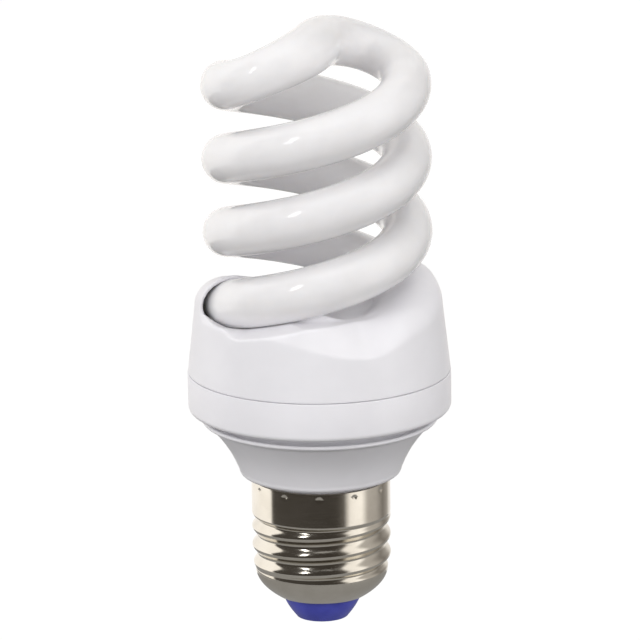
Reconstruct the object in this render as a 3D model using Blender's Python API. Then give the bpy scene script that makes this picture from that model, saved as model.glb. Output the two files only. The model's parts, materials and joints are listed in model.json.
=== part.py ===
"""Compact fluorescent lamp: a double-helix glass tube on a two-part plastic
housing that holds the ballast, with a screw cap below.

Units are metres, +Z is up and the origin is the centre of the flat end of the
centre contact.  The photographed side is -Y.
"""
import math

import bmesh
import bpy
from mathutils import Matrix, Vector

TAU = 2 * math.pi

# Fits shared by every piece
GAP = 0.0003
CUT_OVERRUN = 0.004
MERGE_DISTANCE = 0.000001
SHARP_ANGLE = math.radians(35)

# Spiral tube: two strands of one bent glass tube, joined over the top
TUBE_DIAMETER = 0.0095
TUBE_SIDES = 12
SPIRAL_RADIUS = 0.0168
SPIRAL_LEAD = 0.0282
SPIRAL_TURNS = 1.5
SPIRAL_STEP = math.radians(17)
FIRST_PASS_RISE = 0.0127
TAIL_ANGLE = math.radians(60)
TAIL_END_LENGTH = 0.0035
TAIL_END_STEPS = 3
TAIL_TIP_RADIUS = 0.0011
BRIDGE_DIAMETER = 0.0087
BRIDGE_START_ANGLE = math.radians(-3)
BRIDGE_LEAD_OUT = 0.0058
BRIDGE_TURN_REACH = 0.0149
BRIDGE_TURN_INSET = 0.0012
BRIDGE_TURN_DROP = 0.0016
BRIDGE_CROWN_REACH = 0.0135
CROWN_DIAMETER = 0.0097
CROWN_ANGLE = math.radians(256.6)
CROWN_RISE = 0.0076
BRIDGE_STEPS = 9

# Top cover: hooded moulding with a sloping trough under each strand
COVER_SEGMENTS = 28
HOUSING_RISE = 0.0209
COVER_WALL = 0.0012
COVER_TAPER = 0.0012
HOOD_RADIUS = 0.00675
HOOD_RISE = 0.0004
HOOD_STEPS = 7
HUB_DROP = 0.002
HUB_CROWN = 0.0004
MOUTH_ANGLE = math.radians(10)
MOUTH_STEP = 0.0001
TROUGH_CLEARANCE = 0.0009
TROUGH_SPAN = math.radians(155)
TROUGH_STEPS = 13
TROUGH_BANK_ANGLE = math.radians(25)
TROUGH_ARC_STEPS = 3
TROUGH_INNER_RADIUS = 0.0083
LIP_HEIGHT = 0.0024
LIP_FULL_ANGLE = math.radians(36)
LIP_END_ANGLE = math.radians(50)
SNAP_COUNT = 4
SNAP_WIDTH = 0.004
SNAP_HEIGHT = 0.0011
SNAP_DEPTH = 0.0007

# Base housing: a band, an undercut corner and a flared funnel down to the neck
BASE_SEGMENTS = 28
BAND_STEP = 0.0001
BAND_HEIGHT = 0.0059
BASE_WALL = 0.0015
CORNER_WIDTH = 0.00245
CORNER_DEPTH = 0.0028
CORNER_STEPS = 3
FUNNEL_INSET = 0.00395
FUNNEL_TOP_DROP = 0.01
FUNNEL_FOOT_RADIUS = 0.0154
FUNNEL_HOLLOW = 0.0006
FUNNEL_STEPS = 3
FOOT_CHAMFER = 0.0011
NECK_DEPTH = 0.0056
NECK_WALL = 0.0015
TONGUE_HEIGHT = 0.003
TONGUE_WALL = 0.001
TONGUE_ROOT = 0.0025
LEDGE_COUNT = 4
LEDGE_WIDTH = 0.0014
LEDGE_REACH = 0.0018

# Screw cap: rolled shell, insulating tip and centre contact
CAP_COLUMNS = 20
CAP_RADIUS = 0.01315
CAP_WALL = 0.0005
CAP_RIM_HEIGHT = 0.028
SKIRT_HEIGHT = 0.0068
THREAD_PITCH = 0.00362
THREAD_DEPTH = 0.00095
THREAD_CREST_HEIGHT = 0.0183
THREAD_TURNS = 3.1
THREAD_ROWS_PER_TURN = 5
THREAD_RUNOUT = 0.0012
CAP_FOOT_HEIGHT = 0.0049
CAP_FOOT_RADIUS = 0.0085
CAP_LIP = 0.0007
CAP_TAPER_STEPS = 4
TIP_END_RADIUS = 0.0049
TIP_END_HEIGHT = 0.00035
TIP_BULGE = 0.0007
TIP_FLANGE_HEIGHT = 0.0024
TIP_STEPS = 3
CONTACT_RADIUS = 0.0039
CONTACT_THICKNESS = 0.00095
CONTACT_EDGE = 0.0003
STEM_RADIUS = 0.0012
STEM_HEIGHT = 0.006
ROUND_SEGMENTS = 16

# Silicone that holds each tube end inside the cover
SILICONE_THICKNESS = 0.0009
SILICONE_START_ANGLE = math.radians(-44)
SILICONE_SPAN = math.radians(22)
SILICONE_STEPS = 3
SILICONE_WRAP_START = math.radians(215)
SILICONE_WRAP_END = math.radians(335)
SILICONE_ARC_STEPS = 6

# Circuit board and the posts that the filament leads are wrapped on
BOARD_THICKNESS = 0.0015
PIN_SIDE = 0.0008
PIN_ABOVE = 0.0046
PIN_BELOW = 0.0008
PIN_BACKSET_ANGLE = math.radians(26)
PIN_SPREAD = 0.0042
WIRE_RADIUS = 0.00025
WIRE_SPREAD = 0.0028
WIRE_BEND = 0.0035
WIRE_STEPS = 4
WIRE_SIDES = 5
WRAP_TURNS = 1.5
WRAP_POINTS = 6
WRAP_PITCH = 0.0009
LEAD_RADIUS = 0.0006

# Ballast parts hung under the board
STANDOFF = 0.0011
LEG_RADIUS = 0.0003
ROUND_SIDES = 6
BULK_RADIUS = 0.005
BULK_HEIGHT = 0.0195
BULK_EDGE = 0.0006
BULK_GROOVE = 0.0004
CHOKE_WIDTH = 0.014
CHOKE_HEIGHT = 0.0126
CHOKE_DEPTH = 0.0055
CHOKE_LEG = 0.0026
CHOKE_CENTRE = 0.004
BOBBIN_WALL = 0.0005
TOROID_RADIUS = 0.0045
TOROID_BORE = 0.0024
TOROID_HEIGHT = 0.004
TOROID_BEVEL = 0.0004
TOROID_SEGMENTS = 10
WINDING_RADIUS = 0.00025
WINDING_TURNS = 2
WINDING_SPAN = math.radians(75)
TRANSISTOR_WIDTH = 0.0078
TRANSISTOR_HEIGHT = 0.0108
TRANSISTOR_THICKNESS = 0.0027
TRANSISTOR_HOLE = 0.0016
TRANSISTOR_HOLE_SIDES = 6
TRANSISTOR_LEG = 0.0007
TRANSISTOR_LEG_LENGTH = 0.0024
TRANSISTOR_LEG_PITCH = 0.0023
FILM_BEVEL = 0.0012
RESONANT_WIDTH = 0.012
RESONANT_HEIGHT = 0.0088
RESONANT_THICKNESS = 0.0042
COUPLING_WIDTH = 0.0098
COUPLING_HEIGHT = 0.008
COUPLING_THICKNESS = 0.0042
DRUM_RADIUS = 0.0029
DRUM_HEIGHT = 0.007
DRUM_WAIST = 0.0012
DRUM_FLANGE = 0.001
DIODE_RADIUS = 0.00135
DIODE_LENGTH = 0.005
RESISTOR_RADIUS = 0.0011
RESISTOR_LENGTH = 0.0055
DIAC_RADIUS = 0.00095
DIAC_LENGTH = 0.0038
AXIAL_LEG_REACH = 0.0013
FUSE_RADIUS = 0.0017
FUSE_LENGTH = 0.009
FUSE_LEG_LENGTH = 0.0018

# Where the supply leads pass, as shares of the neck's bore
LEAD_PLACE_SHARES = (-0.233, 0.809)

# Places under the board, as shares of the board's radius
BULK_PLACE_SHARES = (0.16, 0.0)
CHOKE_PLACE_SHARES = (-0.387, 0.0)
TRANSISTOR_PLACE_SHARES = (0.164, 0.346)
RESONANT_PLACE_SHARES = (0.565, 0.0)
COUPLING_PLACE_SHARES = (0.0, -0.651)
DRUM_PLACE_SHARES = (-0.45, -0.52)
TOROID_PLACE_SHARES = (-0.05, 0.70)
DIODE_PLACE_SHARES = ((0.60, 0.44), (0.53, 0.61), (0.60, -0.44), (0.53, -0.61))
RESISTOR_PLACE_SHARES = (
    (-0.62, 0.44, 0.0), (-0.55, 0.61, 0.0), (-0.78, 0.0, 0.25), (-0.75, -0.40, 0.25))
DIAC_PLACE_SHARES = (0.41, -0.77)

# Levels and radii that follow from the sizes above
SEAM_HEIGHT = CAP_RIM_HEIGHT + HOUSING_RISE
FIRST_PASS_HEIGHT = SEAM_HEIGHT + FIRST_PASS_RISE
TUBE_RADIUS = TUBE_DIAMETER / 2
BRIDGE_RADIUS = BRIDGE_DIAMETER / 2
CROWN_RADIUS = CROWN_DIAMETER / 2
TROUGH_RADIUS = TUBE_RADIUS + TROUGH_CLEARANCE
HOOD_LEVEL = FIRST_PASS_HEIGHT + HOOD_RISE
MOUTH_RADIUS = HOOD_RADIUS - COVER_WALL - MOUTH_STEP
COVER_FOOT_RADIUS = SPIRAL_RADIUS + HOOD_RADIUS + COVER_TAPER
BAND_RADIUS = COVER_FOOT_RADIUS + BAND_STEP
FUNNEL_TOP_RADIUS = BAND_RADIUS - FUNNEL_INSET
COVER_FOOT = SEAM_HEIGHT + GAP / 2
BASE_TOP = SEAM_HEIGHT - GAP / 2
HUB_HEIGHT = FIRST_PASS_HEIGHT - HUB_DROP
TONGUE_RADIUS = COVER_FOOT_RADIUS - COVER_WALL - GAP
TONGUE_BORE = TONGUE_RADIUS - TONGUE_WALL
TONGUE_TOP = BASE_TOP + TONGUE_HEIGHT
BAND_FOOT = SEAM_HEIGHT - BAND_HEIGHT
FUNNEL_TOP = SEAM_HEIGHT - FUNNEL_TOP_DROP
FOOT_LEVEL = CAP_RIM_HEIGHT + GAP
NECK_RADIUS = CAP_RADIUS - CAP_WALL - GAP
NECK_BORE = NECK_RADIUS - NECK_WALL
NECK_FOOT = CAP_RIM_HEIGHT - NECK_DEPTH
BOARD_RADIUS = TONGUE_BORE - GAP
BOARD_FOOT = BASE_TOP - BOARD_THICKNESS - GAP
BOARD_TOP = BOARD_FOOT + BOARD_THICKNESS
LEDGE_TOP = BOARD_FOOT - GAP
HANG_LEVEL = BOARD_FOOT - GAP
THREAD_TOP = CAP_RIM_HEIGHT - SKIRT_HEIGHT
THREAD_FOOT = THREAD_TOP - THREAD_TURNS * THREAD_PITCH
TIP_HOLE_RADIUS = CAP_FOOT_RADIUS - CAP_LIP
TIP_THROAT_RADIUS = TIP_HOLE_RADIUS - GAP
STEM_TOP = CONTACT_THICKNESS + STEM_HEIGHT
WINDOW = (CHOKE_WIDTH - 2 * CHOKE_LEG - CHOKE_CENTRE) / 2


def clear_scene():
    """Start from an empty scene."""
    for obj in list(bpy.data.objects):
        bpy.data.objects.remove(obj, do_unlink=True)


def material(name, colour, roughness, metallic=0.0):
    """A Principled surface of one colour."""
    mat = bpy.data.materials.new(name)
    mat.use_nodes = True
    shader = mat.node_tree.nodes["Principled BSDF"]
    shader.inputs["Base Color"].default_value = (*colour, 1.0)
    shader.inputs["Roughness"].default_value = roughness
    shader.inputs["Metallic"].default_value = metallic
    return mat


def add_object(name, bm, mat):
    """Close a mesh, point its faces outward and put it in the scene."""
    bmesh.ops.remove_doubles(bm, verts=bm.verts, dist=MERGE_DISTANCE)
    bmesh.ops.recalc_face_normals(bm, faces=bm.faces)
    mesh = bpy.data.meshes.new(name)
    bm.to_mesh(mesh)
    bm.free()
    mesh.shade_smooth()
    mesh.set_sharp_from_angle(angle=SHARP_ANGLE)
    obj = bpy.data.objects.new(name, mesh)
    bpy.context.collection.objects.link(obj)
    if mat is not None:
        mesh.materials.append(mat)
    return obj


def combine(target, operand, operation):
    """Join or cut one solid with another, then drop the tool solid."""
    step = target.modifiers.new(operation.title(), 'BOOLEAN')
    step.operation = operation
    step.solver = 'EXACT'
    step.object = operand
    bpy.context.view_layer.update()
    shaped = target.evaluated_get(bpy.context.evaluated_depsgraph_get())
    mesh = bpy.data.meshes.new_from_object(shaped)
    target.modifiers.remove(step)
    target.data = mesh
    mesh.shade_smooth()
    mesh.set_sharp_from_angle(angle=SHARP_ANGLE)
    bpy.data.objects.remove(operand, do_unlink=True)


def turned(name, profile, segments, mat, closed=True):
    """Spin an outline of (radius, height) points about the Z axis."""
    bm = bmesh.new()
    verts = [bm.verts.new((radius, 0.0, height)) for radius, height in profile]
    edges = [bm.edges.new(pair) for pair in zip(verts, verts[1:])]
    if closed:
        edges.append(bm.edges.new((verts[-1], verts[0])))
    bmesh.ops.spin(bm, geom=verts + edges, cent=(0, 0, 0), axis=(0, 0, 1),
                   angle=TAU, steps=segments, use_merge=True)
    return add_object(name, bm, mat)


def skin(rings, looped=False, capped=True):
    """Join rings of equally many points, in order, into one closed skin."""
    bm = bmesh.new()
    loops = [[bm.verts.new(point) for point in ring] for ring in rings]
    pairs = list(zip(loops, loops[1:]))
    if looped:
        pairs.append((loops[-1], loops[0]))
    for near, far in pairs:
        count = len(near)
        for i in range(count):
            j = (i + 1) % count
            bm.faces.new((near[i], near[j], far[j], far[i]))
    if capped and not looped:
        bm.faces.new(loops[0])
        bm.faces.new(reversed(loops[-1]))
    return bm


def frames(points):
    """Two cross directions for each point of a path, carried along untwisted."""
    count = len(points)
    along = []
    for i in range(count):
        along.append((points[min(i + 1, count - 1)] - points[max(i - 1, 0)]).normalized())
    side = along[0].orthogonal().normalized()
    result = []
    for direction in along:
        side = (side - direction * side.dot(direction)).normalized()
        result.append((side, direction.cross(side)))
    return result


def swept(name, points, radii, sides, mat):
    """A round bar of changing radius along a path, with flat ends."""
    rings = []
    for point, radius, (side, up) in zip(points, radii, frames(points)):
        ring = []
        for i in range(sides):
            angle = TAU * i / sides
            ring.append(point + side * (radius * math.cos(angle)) + up * (radius * math.sin(angle)))
        rings.append(ring)
    return add_object(name, skin(rings), mat)


def wire(name, points, radius, mat):
    """A round wire drawn along a path of points."""
    return swept(name, points, [radius] * len(points), WIRE_SIDES, mat)


def bezier(guides, steps):
    """Points along one smooth curve, from its guide points."""
    points = []
    for i in range(steps + 1):
        share = i / steps
        level = list(guides)
        while len(level) > 1:
            level = [near.lerp(far, share) for near, far in zip(level, level[1:])]
        points.append(level[0])
    return points


def polar(radius, angle, height):
    """A point given by its distance from the axis, its bearing and its height."""
    return Vector((radius * math.cos(angle), radius * math.sin(angle), height))


def box(size, centre):
    """A block given by its three sides and its middle."""
    bm = bmesh.new()
    bmesh.ops.create_cube(bm, size=1.0)
    bmesh.ops.scale(bm, verts=bm.verts, vec=size)
    bmesh.ops.translate(bm, verts=bm.verts, vec=centre)
    return bm


def joined(parts):
    """One mesh that holds several blocks."""
    whole = bmesh.new()
    for part in parts:
        mesh = bpy.data.meshes.new("block")
        part.to_mesh(mesh)
        part.free()
        whole.from_mesh(mesh)
        bpy.data.meshes.remove(mesh)
    return whole


def rotated_copy(bm, angle):
    """The same mesh again, turned about the Z axis."""
    twin = bm.copy()
    bmesh.ops.rotate(twin, verts=twin.verts, cent=(0, 0, 0),
                     matrix=Matrix.Rotation(angle, 3, 'Z'))
    return twin


# Spiral tube

def strand_height(angle):
    """Height of a strand's centreline, by bearing from its first pass."""
    return FIRST_PASS_HEIGHT + SPIRAL_LEAD * angle / TAU


def strand_point(angle, first):
    """A point of a strand's centreline; the first strand starts at -X."""
    bearing = angle + (math.pi if first else 0.0)
    return polar(SPIRAL_RADIUS, bearing, strand_height(angle))


def strand_direction(angle, first):
    """The way a strand runs as it climbs."""
    bearing = angle + (math.pi if first else 0.0)
    climb = SPIRAL_LEAD / TAU
    across = Vector((-math.sin(bearing), math.cos(bearing), 0.0)) * SPIRAL_RADIUS
    return (across + Vector((0, 0, climb))).normalized()


def crown_height():
    """Height of the tube's centreline where it crosses the lamp's axis."""
    return strand_height(SPIRAL_TURNS * TAU) + CROWN_RISE


def bridge_radius(share):
    """The tube thins on its way in, and swells again over the lamp's axis."""
    if share < 0.5:
        blend = (1 - math.cos(TAU * share)) / 2
        return TUBE_RADIUS + (BRIDGE_RADIUS - TUBE_RADIUS) * blend
    blend = (1 + math.cos(TAU * share)) / 2
    return BRIDGE_RADIUS + (CROWN_RADIUS - BRIDGE_RADIUS) * blend


def bridge_half(first):
    """The strand's run from the helix inward and up to the lamp's axis."""
    angle = SPIRAL_TURNS * TAU + BRIDGE_START_ANGLE
    start = strand_point(angle, first)
    ahead = strand_direction(angle, first)
    inward = Vector((-start.x, -start.y, 0.0)).normalized()
    turn = start + ahead * BRIDGE_TURN_REACH + inward * BRIDGE_TURN_INSET
    turn -= Vector((0, 0, BRIDGE_TURN_DROP))
    crown = Vector((0, 0, crown_height()))
    bearing = CROWN_ANGLE + (0.0 if first else math.pi)
    before_crown = crown - polar(BRIDGE_CROWN_REACH, bearing, 0.0)
    guides = [start, start + ahead * BRIDGE_LEAD_OUT, turn, before_crown, crown]
    return bezier(guides, BRIDGE_STEPS)


def strand(first):
    """Centreline points and radii from a sealed end up to the lamp's axis."""
    last = SPIRAL_TURNS * TAU + BRIDGE_START_ANGLE
    count = math.ceil((last + TAIL_ANGLE) / SPIRAL_STEP)
    points = []
    radii = []
    tip = strand_point(-TAIL_ANGLE, first)
    back = -strand_direction(-TAIL_ANGLE, first)
    for i in range(TAIL_END_STEPS):
        turn = math.pi / 2 * (1 - i / TAIL_END_STEPS)
        points.append(tip + back * (TAIL_END_LENGTH * math.sin(turn)))
        radii.append(TAIL_TIP_RADIUS + (TUBE_RADIUS - TAIL_TIP_RADIUS) * math.cos(turn))
    for i in range(count):
        points.append(strand_point(-TAIL_ANGLE + (last + TAIL_ANGLE) * i / count, first))
        radii.append(TUBE_RADIUS)
    bridge = bridge_half(first)
    for i, point in enumerate(bridge):
        points.append(point)
        radii.append(bridge_radius(i / BRIDGE_STEPS))
    return points, radii


def make_spiral_tube():
    """Both strands as one bar, from sealed end to sealed end."""
    up_points, up_radii = strand(True)
    down_points, down_radii = strand(False)
    points = up_points + down_points[-2::-1]
    radii = up_radii + down_radii[-2::-1]
    glass = material("tube_glass", (0.80, 0.79, 0.80), 0.12)
    return swept("spiral_tube", points, radii, TUBE_SIDES, glass)


# Top cover

def hood_outline(wall):
    """The cover's turned outline inset by a wall: foot, taper, hood and hub."""
    reach = HOOD_RADIUS - wall
    points = [(COVER_FOOT_RADIUS - wall, COVER_FOOT)]
    for i in range(HOOD_STEPS + 1):
        angle = math.pi * i / HOOD_STEPS
        points.append((SPIRAL_RADIUS + reach * math.cos(angle),
                       HOOD_LEVEL + reach * math.sin(angle)))
    return points


def hub_outline(wall):
    """The shallow dome in the middle of the cover, down to its underside."""
    edge = SPIRAL_RADIUS - HOOD_RADIUS + wall
    return [(edge, HUB_HEIGHT - wall), (0.0, HUB_HEIGHT + HUB_CROWN - wall)]


def lip_rise(angle):
    """How far the outer wall stands above the trough's floor near a mouth."""
    start = LIP_FULL_ANGLE
    end = LIP_END_ANGLE
    if angle <= start:
        return LIP_HEIGHT
    return LIP_HEIGHT * max(0.0, (end - angle) / (end - start))


def trough_section(angle, wall, top):
    """The trough's cross-section about the tube, enlarged by a wall."""
    reach = TROUGH_RADIUS + wall
    level = strand_height(angle)
    outer = COVER_FOOT_RADIUS + CUT_OVERRUN
    floor = level - reach
    bank = level - reach * math.sin(TROUGH_BANK_ANGLE)
    rise = lip_rise(angle)
    section = [(TROUGH_INNER_RADIUS, top), (TROUGH_INNER_RADIUS, bank)]
    for i in range(TROUGH_ARC_STEPS + 1):
        share = i / TROUGH_ARC_STEPS
        turn = math.pi + TROUGH_BANK_ANGLE + (math.pi / 2 - TROUGH_BANK_ANGLE) * share
        section.append((SPIRAL_RADIUS + reach * math.cos(turn), level + reach * math.sin(turn)))
    lip = SPIRAL_RADIUS + TROUGH_RADIUS * math.cos(TROUGH_BANK_ANGLE)
    section.append((lip, floor + rise))
    section.append((outer, floor + rise))
    section.append((outer, top))
    return section


def trough_tool(wall):
    """Solids that hollow a sloping trough along both strands."""
    top = HOOD_LEVEL + HOOD_RADIUS + CUT_OVERRUN
    start = MOUTH_ANGLE - wall / SPIRAL_RADIUS
    span = TROUGH_SPAN + 2 * wall / SPIRAL_RADIUS
    solids = []
    for turn in (math.pi, 0.0):
        rings = []
        for i in range(TROUGH_STEPS + 1):
            angle = start + span * i / TROUGH_STEPS
            section = trough_section(angle, wall, top)
            rings.append([polar(radius, angle + turn, height) for radius, height in section])
        solids.append(skin(rings))
    return add_object("trough_tool", joined(solids), None)


def mouth_tool():
    """Short bars that open the end wall of each hood round its tube."""
    solids = []
    for turn in (math.pi, 0.0):
        bearing = MOUTH_ANGLE + turn
        centre = polar(SPIRAL_RADIUS, bearing, HOOD_LEVEL)
        along = polar(1.0, bearing + math.pi / 2, 0.0)
        points = [centre - along * (2 * COVER_WALL), centre + along * GAP]
        rings = []
        for point, (side, up) in zip(points, frames(points)):
            rings.append([point + side * (MOUTH_RADIUS * math.cos(TAU * i / ROUND_SEGMENTS))
                          + up * (MOUTH_RADIUS * math.sin(TAU * i / ROUND_SEGMENTS))
                          for i in range(ROUND_SEGMENTS)])
        solids.append(skin(rings))
    return add_object("mouth_tool", joined(solids), None)


def snap_blocks(inner, outer, width, height, middle):
    """Blocks at even bearings, for the snaps and for their windows."""
    blocks = []
    for i in range(SNAP_COUNT):
        bearing = TAU * (i + 0.5) / SNAP_COUNT
        block = box((outer - inner, width, height), ((outer + inner) / 2, 0, middle))
        blocks.append(rotated_copy(block, bearing))
        block.free()
    return joined(blocks)


def snap_level():
    """Height of the snaps' middle."""
    return BASE_TOP + TONGUE_HEIGHT / 2


def make_top_cover():
    """The hooded cover, open below, with a mouth for each tube end."""
    plastic = material("cover_plastic", (0.82, 0.81, 0.84), 0.35)
    outline = [(0.0, COVER_FOOT)] + hood_outline(0.0) + hub_outline(0.0)
    cover = turned("top_cover", outline, COVER_SEGMENTS, plastic, closed=False)
    combine(cover, trough_tool(0.0), 'DIFFERENCE')
    below = COVER_FOOT - CUT_OVERRUN
    hollow_outline = [(0.0, below), (COVER_FOOT_RADIUS - COVER_WALL, below)]
    hollow_outline += hood_outline(COVER_WALL) + hub_outline(COVER_WALL)
    hollow = turned("cover_hollow", hollow_outline, COVER_SEGMENTS, None, closed=False)
    combine(hollow, trough_tool(COVER_WALL), 'DIFFERENCE')
    combine(cover, hollow, 'DIFFERENCE')
    combine(cover, mouth_tool(), 'DIFFERENCE')
    wall_line = COVER_FOOT_RADIUS - COVER_WALL
    snaps = snap_blocks(wall_line - SNAP_DEPTH, wall_line + COVER_WALL / 2,
                        SNAP_WIDTH, SNAP_HEIGHT, snap_level())
    combine(cover, add_object("snaps", snaps, None), 'UNION')
    return cover


# Base housing

def corner_outline(wall):
    """The rounded undercut corner below the band, inset by a wall."""
    centre_radius = BAND_RADIUS - CORNER_WIDTH
    points = []
    for i in range(CORNER_STEPS + 1):
        angle = math.pi / 2 * i / CORNER_STEPS
        points.append((centre_radius + (CORNER_WIDTH - wall) * math.cos(angle),
                       BAND_FOOT - (CORNER_DEPTH - wall) * math.sin(angle)))
    return points


def funnel_outline(wall, foot_radius, foot_level):
    """The slightly hollow funnel side, from the corner down to the foot."""
    points = []
    top_radius = FUNNEL_TOP_RADIUS - wall
    for i in range(FUNNEL_STEPS + 1):
        share = i / FUNNEL_STEPS
        radius = top_radius + (foot_radius - top_radius) * share
        radius -= FUNNEL_HOLLOW * math.sin(math.pi * share)
        points.append((radius, FUNNEL_TOP + (foot_level - FUNNEL_TOP) * share))
    return points


def base_outline():
    """The housing's closed wall section, clockwise from the tongue's rim."""
    chamfer_top = FOOT_LEVEL + FOOT_CHAMFER
    outside = [(TONGUE_RADIUS, TONGUE_TOP), (TONGUE_RADIUS, BASE_TOP), (BAND_RADIUS, BASE_TOP)]
    outside += corner_outline(0.0)
    outside += funnel_outline(0.0, FUNNEL_FOOT_RADIUS, chamfer_top)
    outside.append((FUNNEL_FOOT_RADIUS - FOOT_CHAMFER, FOOT_LEVEL))
    outside += [(NECK_RADIUS, FOOT_LEVEL), (NECK_RADIUS, NECK_FOOT), (NECK_BORE, NECK_FOOT)]
    inside = [(NECK_BORE, FOOT_LEVEL)]
    inner_foot = FUNNEL_FOOT_RADIUS - BASE_WALL
    inside += reversed(funnel_outline(BASE_WALL, inner_foot, chamfer_top + BASE_WALL / 2))
    inside += reversed(corner_outline(BASE_WALL))
    root = BASE_TOP - TONGUE_ROOT
    step = BAND_RADIUS - BASE_WALL - TONGUE_BORE
    inside += [(BAND_RADIUS - BASE_WALL, root - step), (TONGUE_BORE, root), (TONGUE_BORE, TONGUE_TOP)]
    return outside + inside


def board_ledges():
    """Upright ribs inside the band that carry the circuit board."""
    half = LEDGE_WIDTH / 2
    inner = BOARD_RADIUS - LEDGE_REACH
    outer = BAND_RADIUS - BASE_WALL / 2
    shelf = BAND_FOOT - CORNER_DEPTH + BASE_WALL / 2
    section = [(inner, LEDGE_TOP), (outer, LEDGE_TOP), (outer, BAND_FOOT),
               (BAND_RADIUS - CORNER_WIDTH, shelf), (inner, shelf)]
    ribs = []
    for i in range(LEDGE_COUNT):
        rings = [[Vector((radius, side, height)) for radius, height in section]
                 for side in (-half, half)]
        rib = skin(rings)
        bmesh.ops.rotate(rib, verts=rib.verts, cent=(0, 0, 0),
                         matrix=Matrix.Rotation(TAU * i / LEDGE_COUNT, 3, 'Z'))
        ribs.append(rib)
    return add_object("ledges", joined(ribs), None)


def make_base_housing():
    """The band, funnel and neck in one moulding, with snap windows."""
    plastic = material("base_plastic", (0.82, 0.81, 0.84), 0.35)
    base = turned("base_housing", base_outline(), BASE_SEGMENTS, plastic)
    combine(base, board_ledges(), 'UNION')
    windows = snap_blocks(TONGUE_BORE - GAP, TONGUE_RADIUS + GAP, SNAP_WIDTH + 2 * GAP,
                          SNAP_HEIGHT + 2 * GAP, snap_level())
    combine(base, add_object("windows", windows, None), 'DIFFERENCE')
    return base


# Screw cap

def thread_radius(bearing, height):
    """Outer radius of the rolled shell on its threaded length."""
    phase = (height - THREAD_CREST_HEIGHT) / THREAD_PITCH - (bearing - math.pi) / TAU
    fade_top = min(1.0, max(0.0, (THREAD_TOP - height) / THREAD_RUNOUT))
    fade_foot = min(1.0, max(0.0, (height - THREAD_FOOT) / THREAD_RUNOUT))
    valley = (1 - math.cos(TAU * phase)) / 2
    return CAP_RADIUS - THREAD_DEPTH * valley * fade_top * fade_foot


def shell_outside(bearing):
    """Outer line of the shell at one bearing, from the rim to the lip."""
    points = [(CAP_RADIUS, CAP_RIM_HEIGHT)]
    rows = math.ceil(THREAD_TURNS * THREAD_ROWS_PER_TURN)
    for i in range(rows + 1):
        height = THREAD_TOP - (THREAD_TOP - THREAD_FOOT) * i / rows
        points.append((thread_radius(bearing, height), height))
    width = CAP_RADIUS - CAP_FOOT_RADIUS
    depth = THREAD_FOOT - CAP_FOOT_HEIGHT
    for i in range(1, CAP_TAPER_STEPS + 1):
        turn = math.pi / 2 * i / CAP_TAPER_STEPS
        points.append((CAP_FOOT_RADIUS + width * math.cos(turn),
                       THREAD_FOOT - depth * math.sin(turn)))
    points.append((TIP_HOLE_RADIUS, CAP_FOOT_HEIGHT))
    return points


def inset_line(points, distance):
    """A line of (radius, height) points moved inward by a wall's thickness."""
    moved = []
    last = len(points) - 1
    for i, (radius, height) in enumerate(points):
        before = points[max(i - 1, 0)]
        after = points[min(i + 1, last)]
        along = Vector((after[0] - before[0], after[1] - before[1])).normalized()
        moved.append((radius + along.y * distance, height - along.x * distance))
    return moved


def make_cap_shell():
    """The rolled metal shell: skirt, thread, tapered foot and turned-in lip."""
    nickel = material("cap_nickel", (0.66, 0.63, 0.57), 0.22, metallic=1.0)
    rings = []
    for i in range(CAP_COLUMNS):
        bearing = TAU * i / CAP_COLUMNS
        outside = shell_outside(bearing)
        inside = inset_line(outside, CAP_WALL)
        loop = outside + inside[::-1]
        rings.append([polar(radius, bearing, height) for radius, height in loop])
    shell = add_object("cap_shell", skin(rings, looped=True), nickel)
    return shell


def make_cap_insulator():
    """The blue tip: flange inside the shell, throat, cone and contact seat."""
    blue = material("tip_blue", (0.055, 0.065, 0.40), 0.4)
    seat = CAP_FOOT_HEIGHT + CAP_WALL + GAP
    flange_top = seat + TIP_FLANGE_HEIGHT
    flange_radius = TIP_THROAT_RADIUS + CAP_LIP + CAP_WALL
    recess = CONTACT_THICKNESS + GAP
    bore = STEM_RADIUS + GAP
    outline = [(bore, flange_top), (flange_radius, flange_top), (flange_radius, seat),
               (TIP_THROAT_RADIUS, seat), (TIP_THROAT_RADIUS, CAP_FOOT_HEIGHT - GAP)]
    top = CAP_FOOT_HEIGHT - GAP
    for i in range(1, TIP_STEPS + 1):
        share = i / TIP_STEPS
        radius = TIP_THROAT_RADIUS + (TIP_END_RADIUS - TIP_THROAT_RADIUS) * share
        radius += TIP_BULGE * math.sin(math.pi * share)
        outline.append((radius, top + (TIP_END_HEIGHT - top) * share))
    outline += [(CONTACT_RADIUS + GAP, TIP_END_HEIGHT), (CONTACT_RADIUS + GAP, recess),
                (bore, recess)]
    return turned("cap_insulator", outline, ROUND_SEGMENTS, blue)


def make_centre_contact():
    """The round end contact with the stem that passes through the tip."""
    brass = material("contact_metal", (0.62, 0.60, 0.55), 0.3, metallic=1.0)
    outline = [(0.0, 0.0), (CONTACT_RADIUS - CONTACT_EDGE, 0.0), (CONTACT_RADIUS, CONTACT_EDGE),
               (CONTACT_RADIUS, CONTACT_THICKNESS), (STEM_RADIUS, CONTACT_THICKNESS),
               (STEM_RADIUS, STEM_TOP), (0.0, STEM_TOP)]
    return turned("centre_contact", outline, ROUND_SEGMENTS, brass, closed=False)


# Silicone and filament leads

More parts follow.
